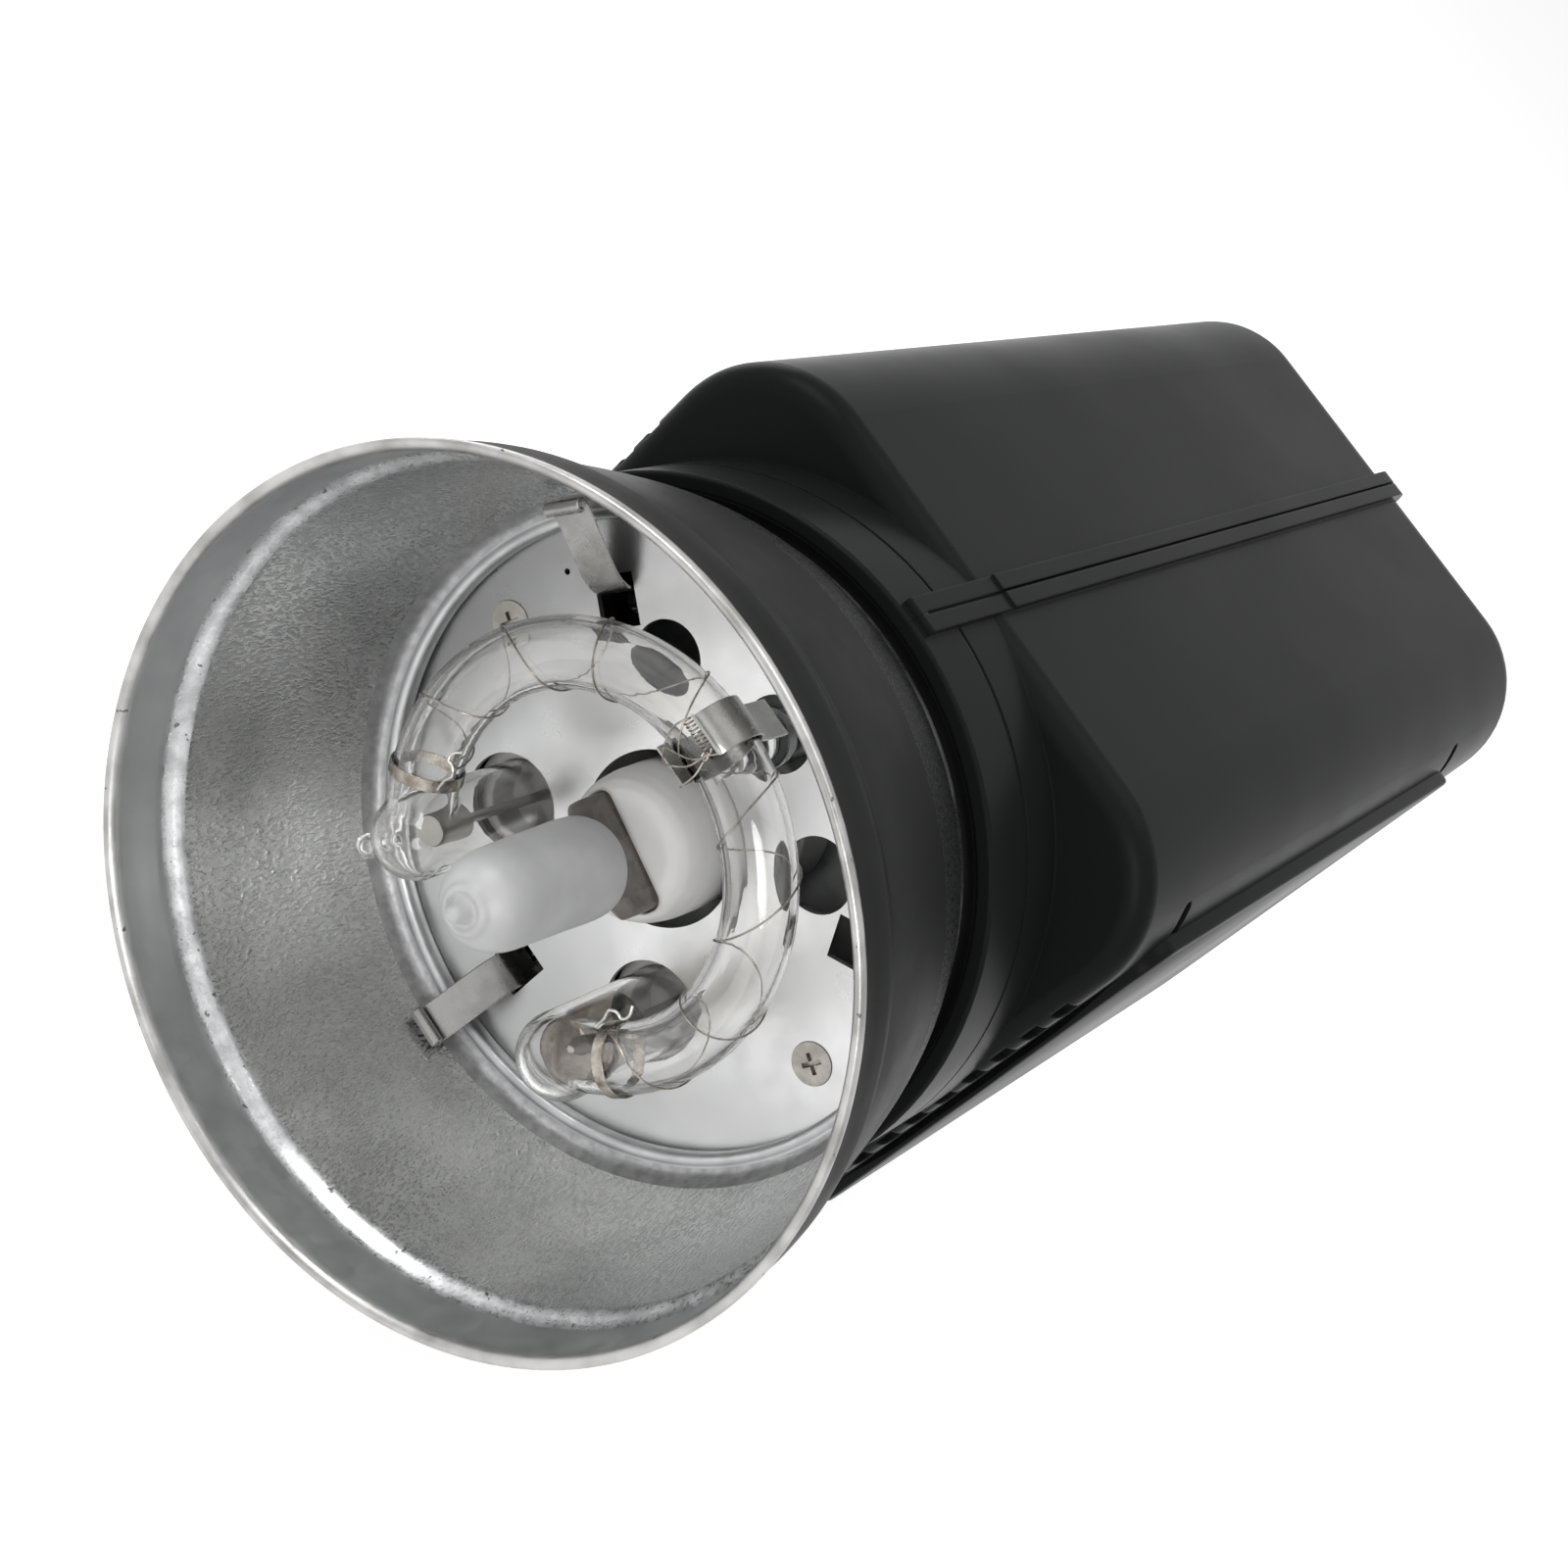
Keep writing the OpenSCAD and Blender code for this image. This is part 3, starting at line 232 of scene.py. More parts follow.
def surface(name, dark, pale, rough, metal=0.0, drift=0.03, grain=0.0006, depth=0.00001, spread=0.06,
            edge=0.0, rubbed=None, specks=None, stretch=None, sparkle=0.0, painted_shade=None, **sockets):
    """A worked surface: its tone drifts from dark to pale, its gloss wanders, a fine grain covers it,
    and its edges are eased by edge metres, rubbed to another colour where that is given. specks is
    (size, share, colour) of small marks: the share is the noise level above which a mark shows.
    stretch squeezes the grain along each axis, sparkle lets the grain change the gloss, and painted_shade
    is (x, x, share): shade painted in, how much darker the finish is at the first x than at the second."""
    made = bpy.data.materials.new(name)
    made.use_nodes = True
    tree = made.node_tree
    shader = tree.nodes["Principled BSDF"]
    where = grained = tree.nodes.new("ShaderNodeTexCoord").outputs["Object"]
    if stretch:
        grained = link(tree, "VectorMath", {0: where, 1: stretch}, operation="MULTIPLY")
    fine = cloud(tree, grained, grain, 2.0)
    tone = between(tree, ramp(tree, cloud(tree, where, drift), *tone_span), (*dark, 1.0), (*pale, 1.0))
    gloss = ramp(tree, cloud(tree, where, drift * gloss_share, 4.0), *gloss_span,
                 max(rough - spread, least_rough), rough + spread)
    bump = {"Strength": 1.0, "Distance": depth, "Height": fine}
    if edge:
        eased = link(tree, "Bevel", {"Radius": edge}, samples=4)
        bump["Normal"] = eased
        if rubbed:
            flat = tree.nodes.new("ShaderNodeNewGeometry").outputs["Normal"]
            turn = link(tree, "VectorMath", {0: eased, 1: flat}, out=1, operation="DOT_PRODUCT")
            patch = ramp(tree, cloud(tree, where, patch_size, 4.0, 0.7), *patch_span)
            share = link(tree, "Math", {0: ramp(tree, turn, *turn_span), 1: patch}, operation="MULTIPLY")
            tone = between(tree, share, tone, (*rubbed, 1.0))
    if sparkle:
        glint = ramp(tree, fine, *sparkle_span, -sparkle, sparkle)
        gloss = link(tree, "Math", {0: gloss, 1: glint}, operation="ADD", use_clamp=True)
    # Painted shade: the colour is darkened towards one end along x.
    if painted_shade:
        side = link(tree, "SeparateXYZ", {0: where})
        shade = ramp(tree, side, painted_shade[0], painted_shade[1], painted_shade[2], 0.0)
        tone = between(tree, shade, tone, (0.0, 0.0, 0.0, 1.0))
    if specks:
        marks = ramp(tree, cloud(tree, where, specks[0], 2.0, 0.6), specks[1], specks[1] + speck_edge)
        tone = between(tree, marks, tone, (*specks[2], 1.0))
    tree.links.new(tone, shader.inputs["Base Color"])
    tree.links.new(gloss, shader.inputs["Roughness"])
    tree.links.new(link(tree, "Bump", bump), shader.inputs["Normal"])
    shader.inputs["Metallic"].default_value = metal
    for key, value in sockets.items():
        shader.inputs[key.replace("_", " ")].default_value = value
    return made


finishes = {
    "lacquer": surface(
        "black_lacquer", (0.0130, 0.0132, 0.0132), (0.0165, 0.0168, 0.0168), 0.4, drift=0.08,
        grain=0.0004, depth=0.000012, specks=(0.0016, 0.78, (0.10, 0.10, 0.10)), Specular_IOR_Level=0.03),
    "rim": surface(
        "bare_rim", (0.30, 0.296, 0.285), (0.47, 0.465, 0.455), 0.36, 1.0, drift=0.012, grain=0.0004,
        depth=0.00003, spread=0.08, specks=(0.0024, 0.69, (0.12, 0.12, 0.12))),
    "band": surface(
        "satin_band", (0.42, 0.425, 0.43), (0.47, 0.475, 0.48), 0.42, 1.0, drift=0.02, grain=0.0003,
        depth=0.000012),
    "step": surface(
        "bright_step", (0.46, 0.465, 0.47), (0.66, 0.665, 0.67), 0.32, 1.0, drift=0.006, grain=0.0009,
        depth=0.00003, spread=0.08, specks=(0.0022, 0.67, (0.16, 0.16, 0.16)), sparkle=0.08),
    # Painted shade: the bowl's colour is darkened towards -x.
    "bowl": surface(
        "hammered_bowl_painted_shade", (0.60, 0.605, 0.605), (0.76, 0.765, 0.76), 0.26, 1.0, drift=0.03, grain=0.0007,
        depth=0.00018, spread=0.05, specks=(0.0026, 0.79, (0.12, 0.12, 0.12)), stretch=(1.0, 0.45, 1.0),
        sparkle=0.14, painted_shade=(-0.074, -0.042, 0.42)),
    "bowl end": surface(
        "rough_ring", (0.34, 0.34, 0.345), (0.46, 0.46, 0.465), 0.5, 1.0, drift=0.003, grain=0.0008,
        depth=0.00008, spread=0.06, stretch=(1.0, 0.3, 1.0)),
    "lip": surface(
        "rolled_lip", (0.42, 0.425, 0.43), (0.52, 0.525, 0.53), 0.36, 1.0, drift=0.01, grain=0.0004,
        depth=0.00001),
    "shoulder": surface(
        "stippled_shoulder", (0.0120, 0.0122, 0.0124), (0.0180, 0.0184, 0.0190), 0.34, drift=0.0014,
        grain=0.0008, depth=0.00026, sparkle=0.12, Specular_IOR_Level=0.06)}
bowl = through([(bowl_r - bowl_narrows * a, bowl_y + bowl_deep * b) for a, b in bowl_curve], 3)
shell = through([(shell_r - bowl_narrows * a, shell_y + bowl_deep * b) for a, b in bowl_curve], 3)
bm = bmesh.new()
profile = rolled_rim + band_outside + shell + rolled_lip + bowl[::-1] + step_and_band
turned(bm, profile, steps=256, closed=True)
bmesh.ops.recalc_face_normals(bm, faces=bm.faces)
for face in bm.faces:
    c = face.calc_center_median() * 1000.0
    r, y = hypot(c.x, c.z - axis_z), c.y - mouth_y
    inside = face.normal.x * c.x + face.normal.z * (c.z - axis_z) < 0
    zone = "lacquer"
    if y < rim_back and r > rim_inner_r:
        zone = "rim"
    elif inside and band_front < y < band_back:
        zone = "band"
    elif inside and y < step_back:
        zone = "step"
    elif r < lip_outer_r and y > lip_front:
        zone = "lip"
    elif inside:
        zone = "bowl" if y < peened_back else "bowl end"
    elif y > stipple_front:
        zone = "shoulder"
    face.material_index = list(finishes).index(zone)
piece("reflector_bowl", bm, finishes.values(), stands_for=["reflector"], crease=50)

# Fingers: three strips of bright spring steel, each bent over the reflector's lip and turning on a
# steel pin, with an eye and a tail bent from the same strip and a torsion spring round the pin.
pin_y, pin_r = 84.0, 50.0
finger_width, finger_thick, corner_share = 9.0, 0.85, 0.28
eye_r, eye_width, eye_thick, eye_x = 2.1, 4.0, 1.6, -2.5
tail_width, tail_thick, tail_x = 4.1, 0.8, -2.45
coil_r, coil_x, coil_wire_r = 1.9, 0.9, 0.25
coil_pitch, coil_steps, coil_turns = 1.15, 24, 3
finger_angles = {"a": 60, "b": 180, "c": 300}
hook = ((79.0, 52.85), (72.0, 53.1), (69.4, 54.3), (67.4, 56.6), (65.85, 59.8), (61.6, 70.4), (60.6, 72.2),
        (59.5, 72.9), (58.3, 72.6), (57.9, 71.5), (58.6, 70.6), (59.7, 70.9))
tail = ((79.2, 52.85), (82.0, 53.0), (84.6, 52.6), (88.4, 50.9), (95.0, 50.0))


def skin(bm, rings, closed=False):
    """Joins each ring of points to the next with faces, and caps both ends unless the run is closed."""
    for a, b in zip(rings, rings[1:] + rings[:1] if closed else rings[1:]):
        for j in range(len(a)):
            bm.faces.new((a[j], a[j - 1], b[j - 1], b[j]))
    if not closed:
        bm.faces.new(rings[0])
        bm.faces.new(rings[-1][::-1])


def strip(bm, path, width, thick, turn=0.0, pivot=0.0, closed=False, x=0.0):
    """A strip of sheet bent along a path of (y, z) points, width across x, turned about (0, pivot)."""
    path = [Vector(p) for p in path]
    w, t, c = width / 2, thick / 2, thick * corner_share
    rim = ((c - w, -t), (w - c, -t), (w, c - t), (w, t - c), (w - c, t), (c - w, t), (-w, t - c), (-w, c - t))
    rings = []
    for i, p in enumerate(path):
        before, after = path[max(i - 1, 0)], path[min(i + 1, len(path) - 1)]
        if closed:
            before, after = path[i - 1], path[(i + 1) % len(path)]
        along = (after - before).normalized()
        row = []
        for u, v in rim:
            u, y, z = x + u, p.x - along.y * v, p.y + along.x * v - pivot
            row.append(bm.verts.new(at(u * cos(turn) - z * sin(turn), y,
                                       u * sin(turn) + z * cos(turn) + pivot)))
        rings.append(row)
    skin(bm, rings, closed)


def wire(bm, points, radius, sides=8):
    """Sweeps a round wire of that radius along the points."""
    points = [Vector(p) for p in points]
    side = Vector((0.31, 0.17, 0.93))    # any direction that no wire here runs along
    rings = []
    for i, p in enumerate(points):
        along = (points[min(i + 1, len(points) - 1)] - points[max(i - 1, 0)]).normalized()
        side = (side - along * side.dot(along)).normalized()
        third = along.cross(side)
        angles = [2 * pi * j / sides for j in range(sides)]
        rings.append([bm.verts.new(at(*(p + radius * (cos(a) * side + sin(a) * third)))) for a in angles])
    skin(bm, rings)


spring_steel = surface("spring_steel_strip", (0.25, 0.246, 0.238), (0.35, 0.345, 0.335), 0.27, 1.0,
                       drift=0.012, grain=0.0003, depth=0.000006, spread=0.03, stretch=(0.2, 1.0, 1.0))
spring_wire = surface("spring_wire", (0.26, 0.26, 0.25), (0.40, 0.40, 0.39), 0.3, 1.0, drift=0.002)
pin_eye = [(pin_y + eye_r * sin(radians(b)), pin_r + eye_r * cos(radians(b))) for b in range(0, 360, 15)]
for letter, angle in finger_angles.items():
    turn = radians(angle)
    bm = bmesh.new()
    strip(bm, through(hook, 8), finger_width, finger_thick, turn)
    strip(bm, pin_eye, eye_width, eye_thick, turn, closed=True, x=eye_x)
    strip(bm, through(tail, 6), tail_width, tail_thick, turn, x=tail_x)
    finger = "finger_" + letter
    piece("spring_" + finger, bm, [spring_steel], finger, [finger])
coil = [(coil_x, pin_y - k, pin_r + coil_r) for k in (4.6, 3.0, 1.4)]
for i in range(coil_turns * coil_steps + 1):
    b = radians(90 - i * 360 / coil_steps)
    coil.append((coil_x + coil_pitch * i / coil_steps, pin_y + coil_r * cos(b), pin_r + coil_r * sin(b)))
bm = bmesh.new()
for angle in finger_angles.values():
    turn = radians(angle)
    placed = [(x * cos(turn) - z * sin(turn), y, x * sin(turn) + z * cos(turn)) for x, y, z in coil]
    wire(bm, placed, coil_wire_r, 10)
piece("torsion_springs", bm, [spring_wire], stands_for=["finger_springs"])

# Flash tube: a horseshoe of clear fused quartz whose ends are melted into two domed legs, with the
# sealed pumping stem on one of them. The joints are blown smooth, so the walls are one closed skin.
# The electrodes in the legs stay as the solids: a sintered cup on one stem and a slim anode.
horseshoe_r, horseshoe_y, horseshoe_z, horseshoe_end = 41.5, 38.7, 5.5, 139
glass_r, glass_wall = 7.4, 1.3
leg_r, leg_x, leg_z, leg_y, leg_middle, leg_back = 9.5, 27.58, -27.58, 39.1, 60.0, 84.0
stem_angle, stem_y, stem_r = radians(156), 39.7, 2.1
stem_joints, stem_end, stem_end_r = (0.0, 6.0, 10.0, 12.6), 14.0, 2.9


def ring(a):
    """A point on the horseshoe's circle, at a clock angle in degrees."""
    a = radians(a)
    return Vector((-horseshoe_r * sin(a), horseshoe_y, horseshoe_z + horseshoe_r * cos(a)))


def dress(slot, finish):
    """Gives a finish to the solids whose material slot in the record has that name."""
    for solid in frame["nodes"].values():
        for place in solid.material_slots:
            if place.material and place.material.name.split(".")[0] == slot:
                place.material = finish


bm = bmesh.new()
wire(bm, [ring(a) for a in range(-horseshoe_end, horseshoe_end + 1, 2)], glass_r, 48)
dome = [(leg_r * sin(radians(t)), leg_y - leg_r * cos(radians(t))) for t in range(0, 91, 6)]
for side in (-1, 1):
    turned(bm, dome + [(leg_r, leg_middle), (leg_r, leg_back), (0.0, leg_back)], leg_x * side, leg_z, 64)
stem_foot, stem = Vector((-leg_x, stem_y, leg_z)), Vector((-sin(stem_angle), 0.0, cos(stem_angle)))
wire(bm, [stem_foot + stem * d for d in stem_joints], stem_r, 24)
bmesh.ops.create_icosphere(bm, subdivisions=4, radius=stem_end_r / 1000,
                           matrix=Matrix.Translation(at(*(stem_foot + stem * stem_end))))
quartz = surface("fused_quartz", (0.95, 0.945, 0.935), (0.985, 0.98, 0.975), 0.012, drift=0.02,
                 grain=0.009, depth=0.00003, spread=0.012, Transmission_Weight=1.0, IOR=1.46)
tube = piece("quartz_horseshoe", bm, [quartz], stands_for=["flash_tube"])
melted = tube.modifiers.new("melted", "REMESH")
melted.mode = "VOXEL"
melted.voxel_size = 0.00065
melted.use_smooth_shade = True
eased = tube.modifiers.new("eased", "SMOOTH")
eased.factor = 0.5
eased.iterations = 8
walls = tube.modifiers.new("wall", "SOLIDIFY")
walls.thickness = glass_wall / 1000
walls.offset = -1.0
dress("tungsten", surface("electrode_metal", (0.36, 0.35, 0.33), (0.5, 0.48, 0.46), 0.4, 1.0))

# Smoke: a thin brown film of metal on the inside of one leg, from its dome to about its middle, where
# the discharge has thrown it off the electrode.
smoke_outline = [(7.0, 40.9), (7.7, 42.4), (7.95, 45.0), (7.95, 58.0),
                 (7.85, 58.0), (7.85, 45.0), (7.6, 42.5), (6.9, 41.0)]
bm = bmesh.new()
turned(bm, smoke_outline, leg_x, leg_z, 64, closed=True)
film = surface("smoke_film", (0.24, 0.20, 0.17), (0.62, 0.57, 0.51), 0.1, drift=0.009, grain=0.002,
               depth=0.00002, spread=0.06, Transmission_Weight=1.0, IOR=1.05)
piece("leg_smoke", bm, [film])

# Bands: thin tarnished strips that pinch the ends of the trigger wire on the horseshoe's two ends,
# each with a small bright hook bent from wire.
band_r, band_width, band_thick, band_angle, hook_r = 7.72, 2.7, 0.34, 120, 0.32
hook_bend = ((28.9, 30.9, -9.5), (29.0, 30.2, -6.2), (28.4, 29.6, -3.4), (29.8, 29.4, -1.9),
             (31.3, 29.6, -2.0), (31.8, 30.0, -0.4), (30.6, 30.3, 1.5))


def round_glass(radius, angles):
    """Points of (y, z) round the glass where the horseshoe is highest, for a strip."""
    top = horseshoe_z + horseshoe_r
    return [(horseshoe_y + radius * cos(radians(b)), top + radius * sin(radians(b))) for b in angles]


bm = bmesh.new()
hooks = bmesh.new()
for side in (-1, 1):
    strip(bm, round_glass(band_r, range(0, 360, 8)), band_width, band_thick, radians(band_angle * side),
          horseshoe_z, closed=True)
    wire(hooks, through([(x * -side, y, z) for x, y, z in hook_bend], 5), hook_r, 10)
tarnish = surface("tarnished_brass", (0.17, 0.145, 0.115), (0.40, 0.37, 0.33), 0.28, 1.0, drift=0.004,
                  grain=0.0005, depth=0.00002, spread=0.1)
bright_wire = surface("bright_wire", (0.46, 0.45, 0.42), (0.62, 0.61, 0.58), 0.3, 1.0, drift=0.003)
piece("trigger_bands", bm, [tarnish], stands_for=["tube_bands"])
piece("band_hooks", hooks, [bright_wire])

# Trigger wire: one bare nickel wire laced by hand along the horseshoe, tight on the glass but with
# uneven turns: its pace along the tube and round it sways, and it lifts a little here and there.
lacing_end, lacing_start, lacing_turns, lacing_steps = 116.5, 200, 8, 720
lacing_r, lacing_gap, lacing_lift = 0.21, 0.26, 0.25
sways_along, sway_round = ((2.6, 23.0, 0.0), (1.7, 61.0, 1.0)), (14, 37.0)
nickel_wire = surface("trigger_nickel", (0.20, 0.18, 0.16), (0.42, 0.39, 0.35), 0.3, 1.0, drift=0.004,
                      grain=0.0004, depth=0.00001)
bm = bmesh.new()
course = []
for i in range(lacing_steps + 1):
    t = i / lacing_steps
    a = lacing_end * (2 * t - 1) + sum(size * sin(t * pace + start) for size, pace, start in sways_along)
    b = radians(lacing_start + lacing_turns * 360 * t + sway_round[0] * sin(t * sway_round[1]))
    away = glass_r + lacing_gap + lacing_lift * max(0.0, sin(b * 0.5 + 0.7)) ** 8
    out = (ring(a) - Vector((0, horseshoe_y, horseshoe_z))).normalized()
    course.append(ring(a) + away * (out * cos(b) + Vector((0, 1, 0)) * sin(b)))
wire(bm, course, lacing_r)
piece("trigger_lacing", bm, [nickel_wire], stands_for=["trigger_wire"])

# Clip: a springy bright strip round the tube and a second one round the post, closed at the front by
# a small tension spring and five hand-twisted ties of the same wire as the lacing.
clip_r, clip_width, arm_width, clip_thick = 8.05, 9.2, 8.6, 0.55
clip_arms = (((47.2, 50.4), (48.4, 49.9), (52.0, 49.4), (58.0, 49.2)),
             ((47.2, 42.6), (48.2, 40.0), (48.0, 35.0), (48.6, 33.2)))
spring_from, spring_to, spring_r = Vector((-4.4, 29.2, 50.4)), Vector((2.8, 29.2, 50.7)), 0.85
spring_turns, spring_steps, spring_wire_r, tie_r = 9, 16, 0.19, 0.2
strip_start, strip_end = (30.2, 40.6), (29.9, 51.6)
ties = (((-4.3, 29.5, 51.0), (-5.0, 28.9, 47.4), (-3.5, 28.9, 43.2), (-1.5, 29.6, 40.4)),
        ((2.8, 29.5, 51.2), (3.6, 29.2, 49.6), (1.6, 28.7, 46.2), (-3.4, 29.0, 43.0)),
        ((3.4, 29.4, 50.6), (3.3, 28.8, 49.4), (2.4, 28.8, 44.6), (-1.3, 29.4, 40.0)),
        ((3.2, 29.6, 49.6), (4.6, 29.4, 45.0), (4.4, 29.8, 41.0), (4.2, 31.0, 39.4)),
        ((3.1, 29.3, 50.2), (4.1, 29.0, 49.0), (3.0, 28.9, 48.6), (2.6, 29.3, 49.8), (3.7, 29.4, 50.2),
         (4.4, 30.2, 51.4)))
clip_steel = surface("clip_strip", (0.38, 0.375, 0.36), (0.48, 0.475, 0.455), 0.28, 1.0, drift=0.012,
                     grain=0.0003, depth=0.000005, spread=0.03)
bm = bmesh.new()
hoop = round_glass(clip_r, range(-136, 156, 6))
strip(bm, [strip_start] + hoop + [strip_end], clip_width, clip_thick)
for arm in clip_arms:
    strip(bm, through(arm, 5), arm_width, clip_thick)
piece("tube_clip_strips", bm, [clip_steel], stands_for=["tube_clip"])
bm = bmesh.new()
course = []
for i in range(spring_turns * spring_steps + 1):
    b = radians(i * 360 / spring_steps)
    middle = spring_from + (spring_to - spring_from) * (i / (spring_turns * spring_steps))
    course.append(middle + spring_r * Vector((0, cos(b), sin(b))))
wire(bm, course, spring_wire_r)
for tie in ties:
    wire(bm, through(tie, 8), tie_r)
piece("clip_spring_and_ties", bm, [nickel_wire], stands_for=["clip_spring"])

# Post: a ribbed rod of clear pressed glass behind the tube. It stands in the upper hole of the plate,
# and the clip's arms close on it.
post_z, post_front, post_back = 39, 47.5, 110.0
ribs = ((4.3, 47.5), (5.0, 48.3), (5.2, 50.0), (5.1, 53.4), (4.4, 54.8), (4.4, 56.6), (5.4, 57.9),
        (5.6, 59.8), (5.3, 61.8), (4.7, 62.9), (4.7, 64.6), (6.1, 66.0), (6.4, 68.0), (6.4, 100.0),
        (6.4, post_back))
bm = bmesh.new()
turned(bm, [(0.0, post_front)] + through(ribs, 4) + [(0.0, post_back)], 0, post_z, 48)
pressed = surface("pressed_glass", (0.90, 0.92, 0.92), (0.96, 0.965, 0.965), 0.03, drift=0.01, grain=0.003,
                  depth=0.00005, spread=0.025, Transmission_Weight=1.0, IOR=1.5)
piece("ribbed_post", bm, [pressed], stands_for=["tube_post"])

# Modelling lamp: a frosted capsule with its clear pinched-off tip, flowing into a flat clear pinch
# that holds two dark foils and stands on two pins in the slot of a white ceramic holder. The holder
# and the flash tube's sockets stay as the solids.
capsule = ((0.0, 1.0), (0.9, 1.15), (1.7, 2.0), (2.2, 3.6), (2.7, 5.0), (3.4, 5.1), (4.2, 4.7), (5.0, 5.1),
           (5.9, 6.2), (7.6, 7.6), (9.2, 9.8), (10.2, 13.2), (10.5, 17.2), (10.7, 30.0), (10.9, 40.0),
           (10.4, 44.6), (8.4, 47.0), (5.0, 47.6))
lamp_tilt = radians(79)
pinch_rows = ((45.5, 5.4, 13.0, 2.2), (47.4, 5.8, 17.5, 2.6), (49.4, 6.4, 24.2, 3.2), (50.6, 7.0, 26.2, 4.0),
              (63.0, 7.0, 26.5, 4.0), (64.0, 6.4, 26.0, 4.0))
pin_out, lamp_pin_r, lamp_pin_course = 6.0, 1.15, (63.5, 68.0, 72.0)
foil_out, foil_width, foil_thick = 5.6, 6.4, 0.35
foil_path = ((46.5, 0.0), (51.0, 0.6), (58.0, -0.3), (63.0, 0.0))


def squared(share, power):
    """The cosine or sine of a rounded oblong: the higher the power, the squarer it is."""
    return (1 if share >= 0 else -1) * abs(share) ** (2 / power)


bm = bmesh.new()
turned(bm, [(max(p[0], 0.0), p[1]) for p in through(capsule, 5)] + [(0.0, capsule[-1][1])], steps=96)
frosted = surface("frosted_capsule", (0.70, 0.70, 0.705), (0.78, 0.78, 0.785), 0.40, drift=0.012,
                  grain=0.0004, depth=0.000012, Transmission_Weight=0.25, IOR=1.45)
piece("lamp_bulb", bm, [frosted], stands_for=["lamp_capsule"], crease=70)
bm = bmesh.new()
rows = []
for y, thick, width, power in pinch_rows:
    row = []
    for i in range(64):
        u = thick / 2 * squared(cos(2 * pi * i / 64), power)
        v = width / 2 * squared(sin(2 * pi * i / 64), power)
        row.append(bm.verts.new(at(u * cos(lamp_tilt) - v * sin(lamp_tilt), y,
                                   u * sin(lamp_tilt) + v * cos(lamp_tilt))))
    rows.append(row)
skin(bm, rows)
for k in (-pin_out, pin_out):
    wire(bm, [(-k * sin(lamp_tilt), y, k * cos(lamp_tilt)) for y in lamp_pin_course], lamp_pin_r, 16)
solid_pinch = surface("pinched_glass", (0.50, 0.45, 0.41), (0.66, 0.62, 0.585), 0.14, drift=0.004,
                      grain=0.002, depth=0.00006, spread=0.05, Transmission_Weight=0.75, IOR=1.46)
piece("lamp_pinch_glass", bm, [solid_pinch], stands_for=["lamp_pinch"], crease=50)
bm = bmesh.new()
for k in (-foil_out, foil_out):
    strip(bm, foil_path, foil_width, foil_thick, lamp_tilt - pi / 2, x=k)
foil = surface("moly_foil", (0.10, 0.085, 0.075), (0.28, 0.25, 0.23), 0.35, 1.0, drift=0.003,
               grain=0.0008, depth=0.00004)
piece("pinch_foils", bm, [foil])
dress("ceramic", surface("ceramic", (0.90, 0.89, 0.87), (0.94, 0.93, 0.91), 0.5, drift=0.01,
                         grain=0.0004, depth=0.00001, edge=0.0018))

# Face plate: satin aluminium sheet, held by plated steel screws. The same steel makes the finger pins,
# the fan guard and the tilt bolt. The black plastic is the ring behind the plate, and the fan, the
# switch bezels, one rocker, the breaker body and the inlet shell.
# Painted shade: the plate's colour is darkened towards -x.
dress("plate", surface("satin_plate_painted_shade", (0.60, 0.605, 0.60), (0.66, 0.665, 0.66), 0.33, 1.0, drift=0.03,
                       grain=0.0003, depth=0.000008, painted_shade=(-0.06, -0.01, 0.5)))
dress("steel", surface("screw_steel", (0.33, 0.31, 0.28), (0.42, 0.40, 0.37), 0.38, 1.0, drift=0.004,
                       grain=0.0003, depth=0.00001, edge=0.0002))
dress("black_plastic", surface("black_plastic", (0.003, 0.003, 0.0032), (0.0045, 0.0045, 0.0048), 0.42,
                               edge=0.0003, Specular_IOR_Level=0.04))

# Inner parts: a chassis and a strap of folded zinc-plated sheet, capacitors in blue sleeves, green
# boards, a trigger coil wound with red tape and a copper choke.
dress("zinc",
      surface("zinc_sheet", (0.42, 0.43, 0.44), (0.55, 0.56, 0.57), 0.4, 1.0, drift=0.01, edge=0.0002))
dress("capacitor_sleeve",
      surface("capacitor_sleeve", (0.02, 0.035, 0.11), (0.03, 0.05, 0.15), 0.35, edge=0.0005))
dress("board", surface("board_green", (0.008, 0.07, 0.03), (0.012, 0.10, 0.045), 0.4, edge=0.0002))
dress("coil_tape", surface("coil_tape", (0.16, 0.03, 0.02), (0.24, 0.05, 0.03), 0.5, edge=0.0004))
dress("copper", surface("copper_wire", (0.45, 0.18, 0.08), (0.6, 0.26, 0.12), 0.35, 1.0))

# Rear panel: sheet with a grey powder coat, blackened screws, nickel-plated contacts, moulded keys,
# and coloured lenses over the ready lamp and the slave cell.
dress("panel", surface("rear_panel_grey", (0.011, 0.0115, 0.0125), (0.015, 0.0155, 0.0165), 0.48,
                       grain=0.0005, depth=0.00003, edge=0.0003, Specular_IOR_Level=0.3))
dress("black_screw",
      surface("black_oxide", (0.02, 0.02, 0.02), (0.035, 0.034, 0.033), 0.4, 0.6, edge=0.0002))
dress("nickel", surface("nickel", (0.5, 0.49, 0.46), (0.62, 0.61, 0.58), 0.25, 1.0, edge=0.0002))
dress("red_plastic", surface("red_plastic", (0.32, 0.012, 0.010), (0.40, 0.018, 0.014), 0.35, edge=0.0003))
dress("knob_grey", surface("knob_grey", (0.42, 0.43, 0.44), (0.5, 0.51, 0.52), 0.45, edge=0.0003))
dress("white_plastic", surface("white_plastic", (0.68, 0.66, 0.61), (0.76, 0.74, 0.69), 0.4, edge=0.0003))
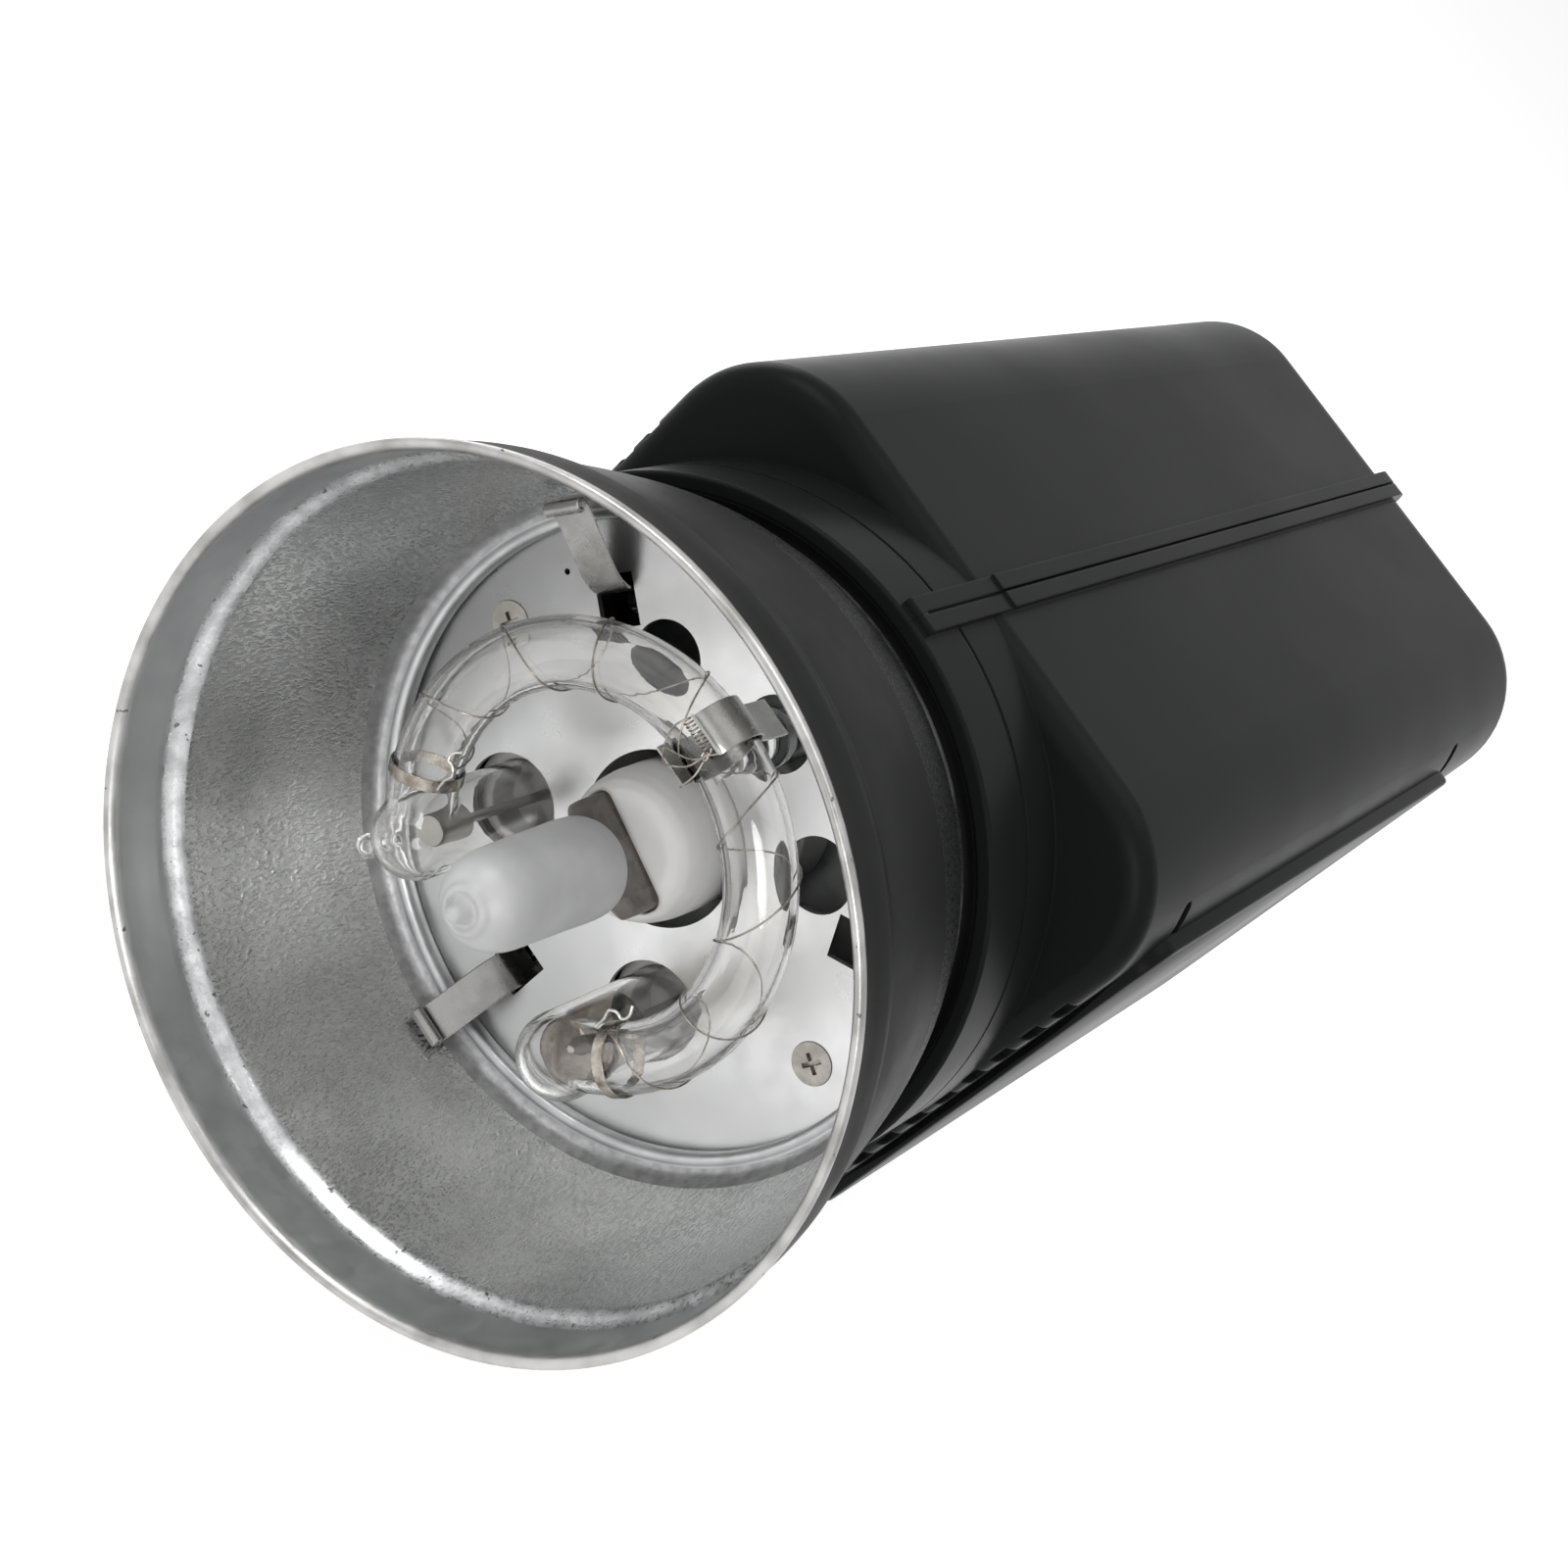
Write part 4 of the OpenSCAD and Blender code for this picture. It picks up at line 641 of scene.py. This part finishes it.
dress("green_lens",
      surface("green_lens", (0.02, 0.32, 0.06), (0.03, 0.42, 0.09), 0.15, Transmission_Weight=0.5))
dress("red_lens",
      surface("red_lens", (0.28, 0.01, 0.02), (0.36, 0.015, 0.03), 0.15, Transmission_Weight=0.5))

# Rear markings: thin pale print on the panel, with a scale and plain numbers over each fader and a
# short bar over each other control.
print_y, print_thick, bar_high = 372.03, 0.06, 0.35
tick_width, long_tick, short_tick = 0.3, 2.2, 1.2
fader_rows, fader_start, tick_apart, ticks, tick_rise = (36, 20), -48, 3, 13, 6.6
digit_size, digit_start, digit_apart, digits, digit_rise = 3.2, -12, 9, 5, 8.4
bars = ((14, 46.2, 12), (36, 46.2, 12), (51, 44.6, 6), (54, 24.8, 5), (14, 15.8, 8), (36, 17.2, 8),
        (34, -0.4, 10))
print_white = surface("panel_print", (0.55, 0.55, 0.54), (0.66, 0.66, 0.65), 0.5, drift=0.003,
                      Specular_IOR_Level=0.3)


def block(bm, place, x, y, z):
    """A block of that many millimetres, its middle at the place's origin and turned as the place is."""
    size = Matrix.Diagonal((x / 1000, y / 1000, z / 1000, 1.0))
    bmesh.ops.create_cube(bm, size=1.0, matrix=place @ size)


bm = bmesh.new()
for row_z in fader_rows:
    for i in range(ticks):
        spot = at(fader_start + i * tick_apart, print_y, row_z + tick_rise)
        block(bm, Matrix.Translation(spot), tick_width, print_thick, long_tick if i % 3 == 0 else short_tick)
    for i in range(digits):
        digit = bpy.data.curves.new("number", "FONT")
        digit.body = str(i)
        digit.size = digit_size / 1000
        digit.extrude = print_thick / 2000
        digit.align_x = "CENTER"
        flat = bpy.data.objects.new("number", digit)
        outline = flat.to_mesh()
        spot = at(digit_start - i * digit_apart, print_y, row_z + digit_rise)
        facing_back = Matrix.Rotation(pi, 4, "Z") @ Matrix.Rotation(pi / 2, 4, "X")
        outline.transform(Matrix.Translation(spot) @ facing_back)
        bm.from_mesh(outline)
        flat.to_mesh_clear()
        bpy.data.objects.remove(flat)
        bpy.data.curves.remove(digit)
for x, z, width in bars:
    block(bm, Matrix.Translation(at(x, print_y, z)), width, print_thick, bar_high)
piece("panel_printing", bm, [print_white], crease=30)

# Rocker marks: an I above and an O below on each rocker, raised a little over its two slanting faces
# and riding with it.
rocker_y, rocker_z, rocker_rest, rocker_slant = 364.5, 33.0, radians(-8), radians(12)
rocker_front, rocker_rise, mark_z, mark_gap = 7.1, 1.5, 4.6, 0.03
mark_y = rocker_front + rocker_rise * mark_z / rocker_front + mark_gap
line_width, line_high, mark_thick = 0.5, 3.2, 0.12
circle_r, circle_width, circle_parts, part_length = 1.4, 0.5, 40, 0.27
for body, x, slot in (("power_switch", 14.0, "red_plastic"), ("model_switch", 36.0, "black_plastic")):
    bm = bmesh.new()
    rocker = Matrix.Translation(at(x, rocker_y, rocker_z)) @ Matrix.Rotation(rocker_rest, 4, "X")
    for up in (1, -1):
        face_place = (rocker @ Matrix.Translation(Vector((0.0, mark_y, mark_z * up)) / 1000)
                      @ Matrix.Rotation(-rocker_slant * up, 4, "X") @ Matrix.Rotation(pi / 2, 4, "X"))
        if up > 0:
            block(bm, face_place, line_width, line_high, mark_thick)
            continue
        for i in range(circle_parts):
            round_to = Matrix.Rotation(2 * pi * (i + 0.5) / circle_parts, 4, "Z")
            out_to = Matrix.Translation((0.0, circle_r / 1000, 0.0))
            block(bm, face_place @ round_to @ out_to, part_length, circle_width, mark_thick)
    piece("rocker_marks_" + body, bm, [print_white], body)

# Case: two halves moulded in charcoal plastic with a fine grain and a few pale specks. The cover in
# the right half's side stands a little out of it, with a square edge over the rounded corner.
cover_front, cover_back, cover_z, cover_corner, corner_parts = 118.0, 328.0, 56.0, 9.0, 8
cover_rim = ((0.0, 76.9), (0.0, 79.9), (0.35, 80.6), (1.1, 80.95))    # how far in, and at which x
case_shell = surface("case_shell", (0.0100, 0.0104, 0.0107), (0.0128, 0.0133, 0.0136), 0.31, drift=0.15,
                     grain=0.0005, depth=0.00001, spread=0.03, edge=0.0008,
                     specks=(0.0011, 0.78, (0.04, 0.04, 0.04)), Specular_IOR_Level=0.036)
dress("case", case_shell)
bm = bmesh.new()
near, far, side = cover_front + cover_corner, cover_back - cover_corner, cover_z - cover_corner
rings = []
for inset, x in cover_rim:
    row = []
    for y, z, start in ((far, side, 0), (near, side, 90), (near, -side, 180), (far, -side, 270)):
        for k in range(corner_parts + 1):
            a = radians(start + k * 90 / corner_parts)
            row.append(bm.verts.new(at(x, y + (cover_corner - inset) * cos(a),
                                       z + (cover_corner - inset) * sin(a))))
    rings.append(row)
skin(bm, rings)
piece("side_panel_cover", bm, [case_shell])

# Stand bracket and tilt block: alloy with a black textured paint that is rubbed at its edges. The
# knobs and the thumbscrew have black moulded grips.
dress("bracket_paint", surface("bracket_paint", (0.008, 0.008, 0.0085), (0.012, 0.012, 0.0125), 0.42,
                               grain=0.0008, depth=0.00004, edge=0.0006, rubbed=(0.3, 0.3, 0.3),
                               Specular_IOR_Level=0.3))
dress("knob_black", surface("knob_black", (0.005, 0.005, 0.0055), (0.007, 0.007, 0.0075), 0.42,
                            edge=0.0005, Specular_IOR_Level=0.25))

bpy.context.scene.view_settings.view_transform = "Standard"
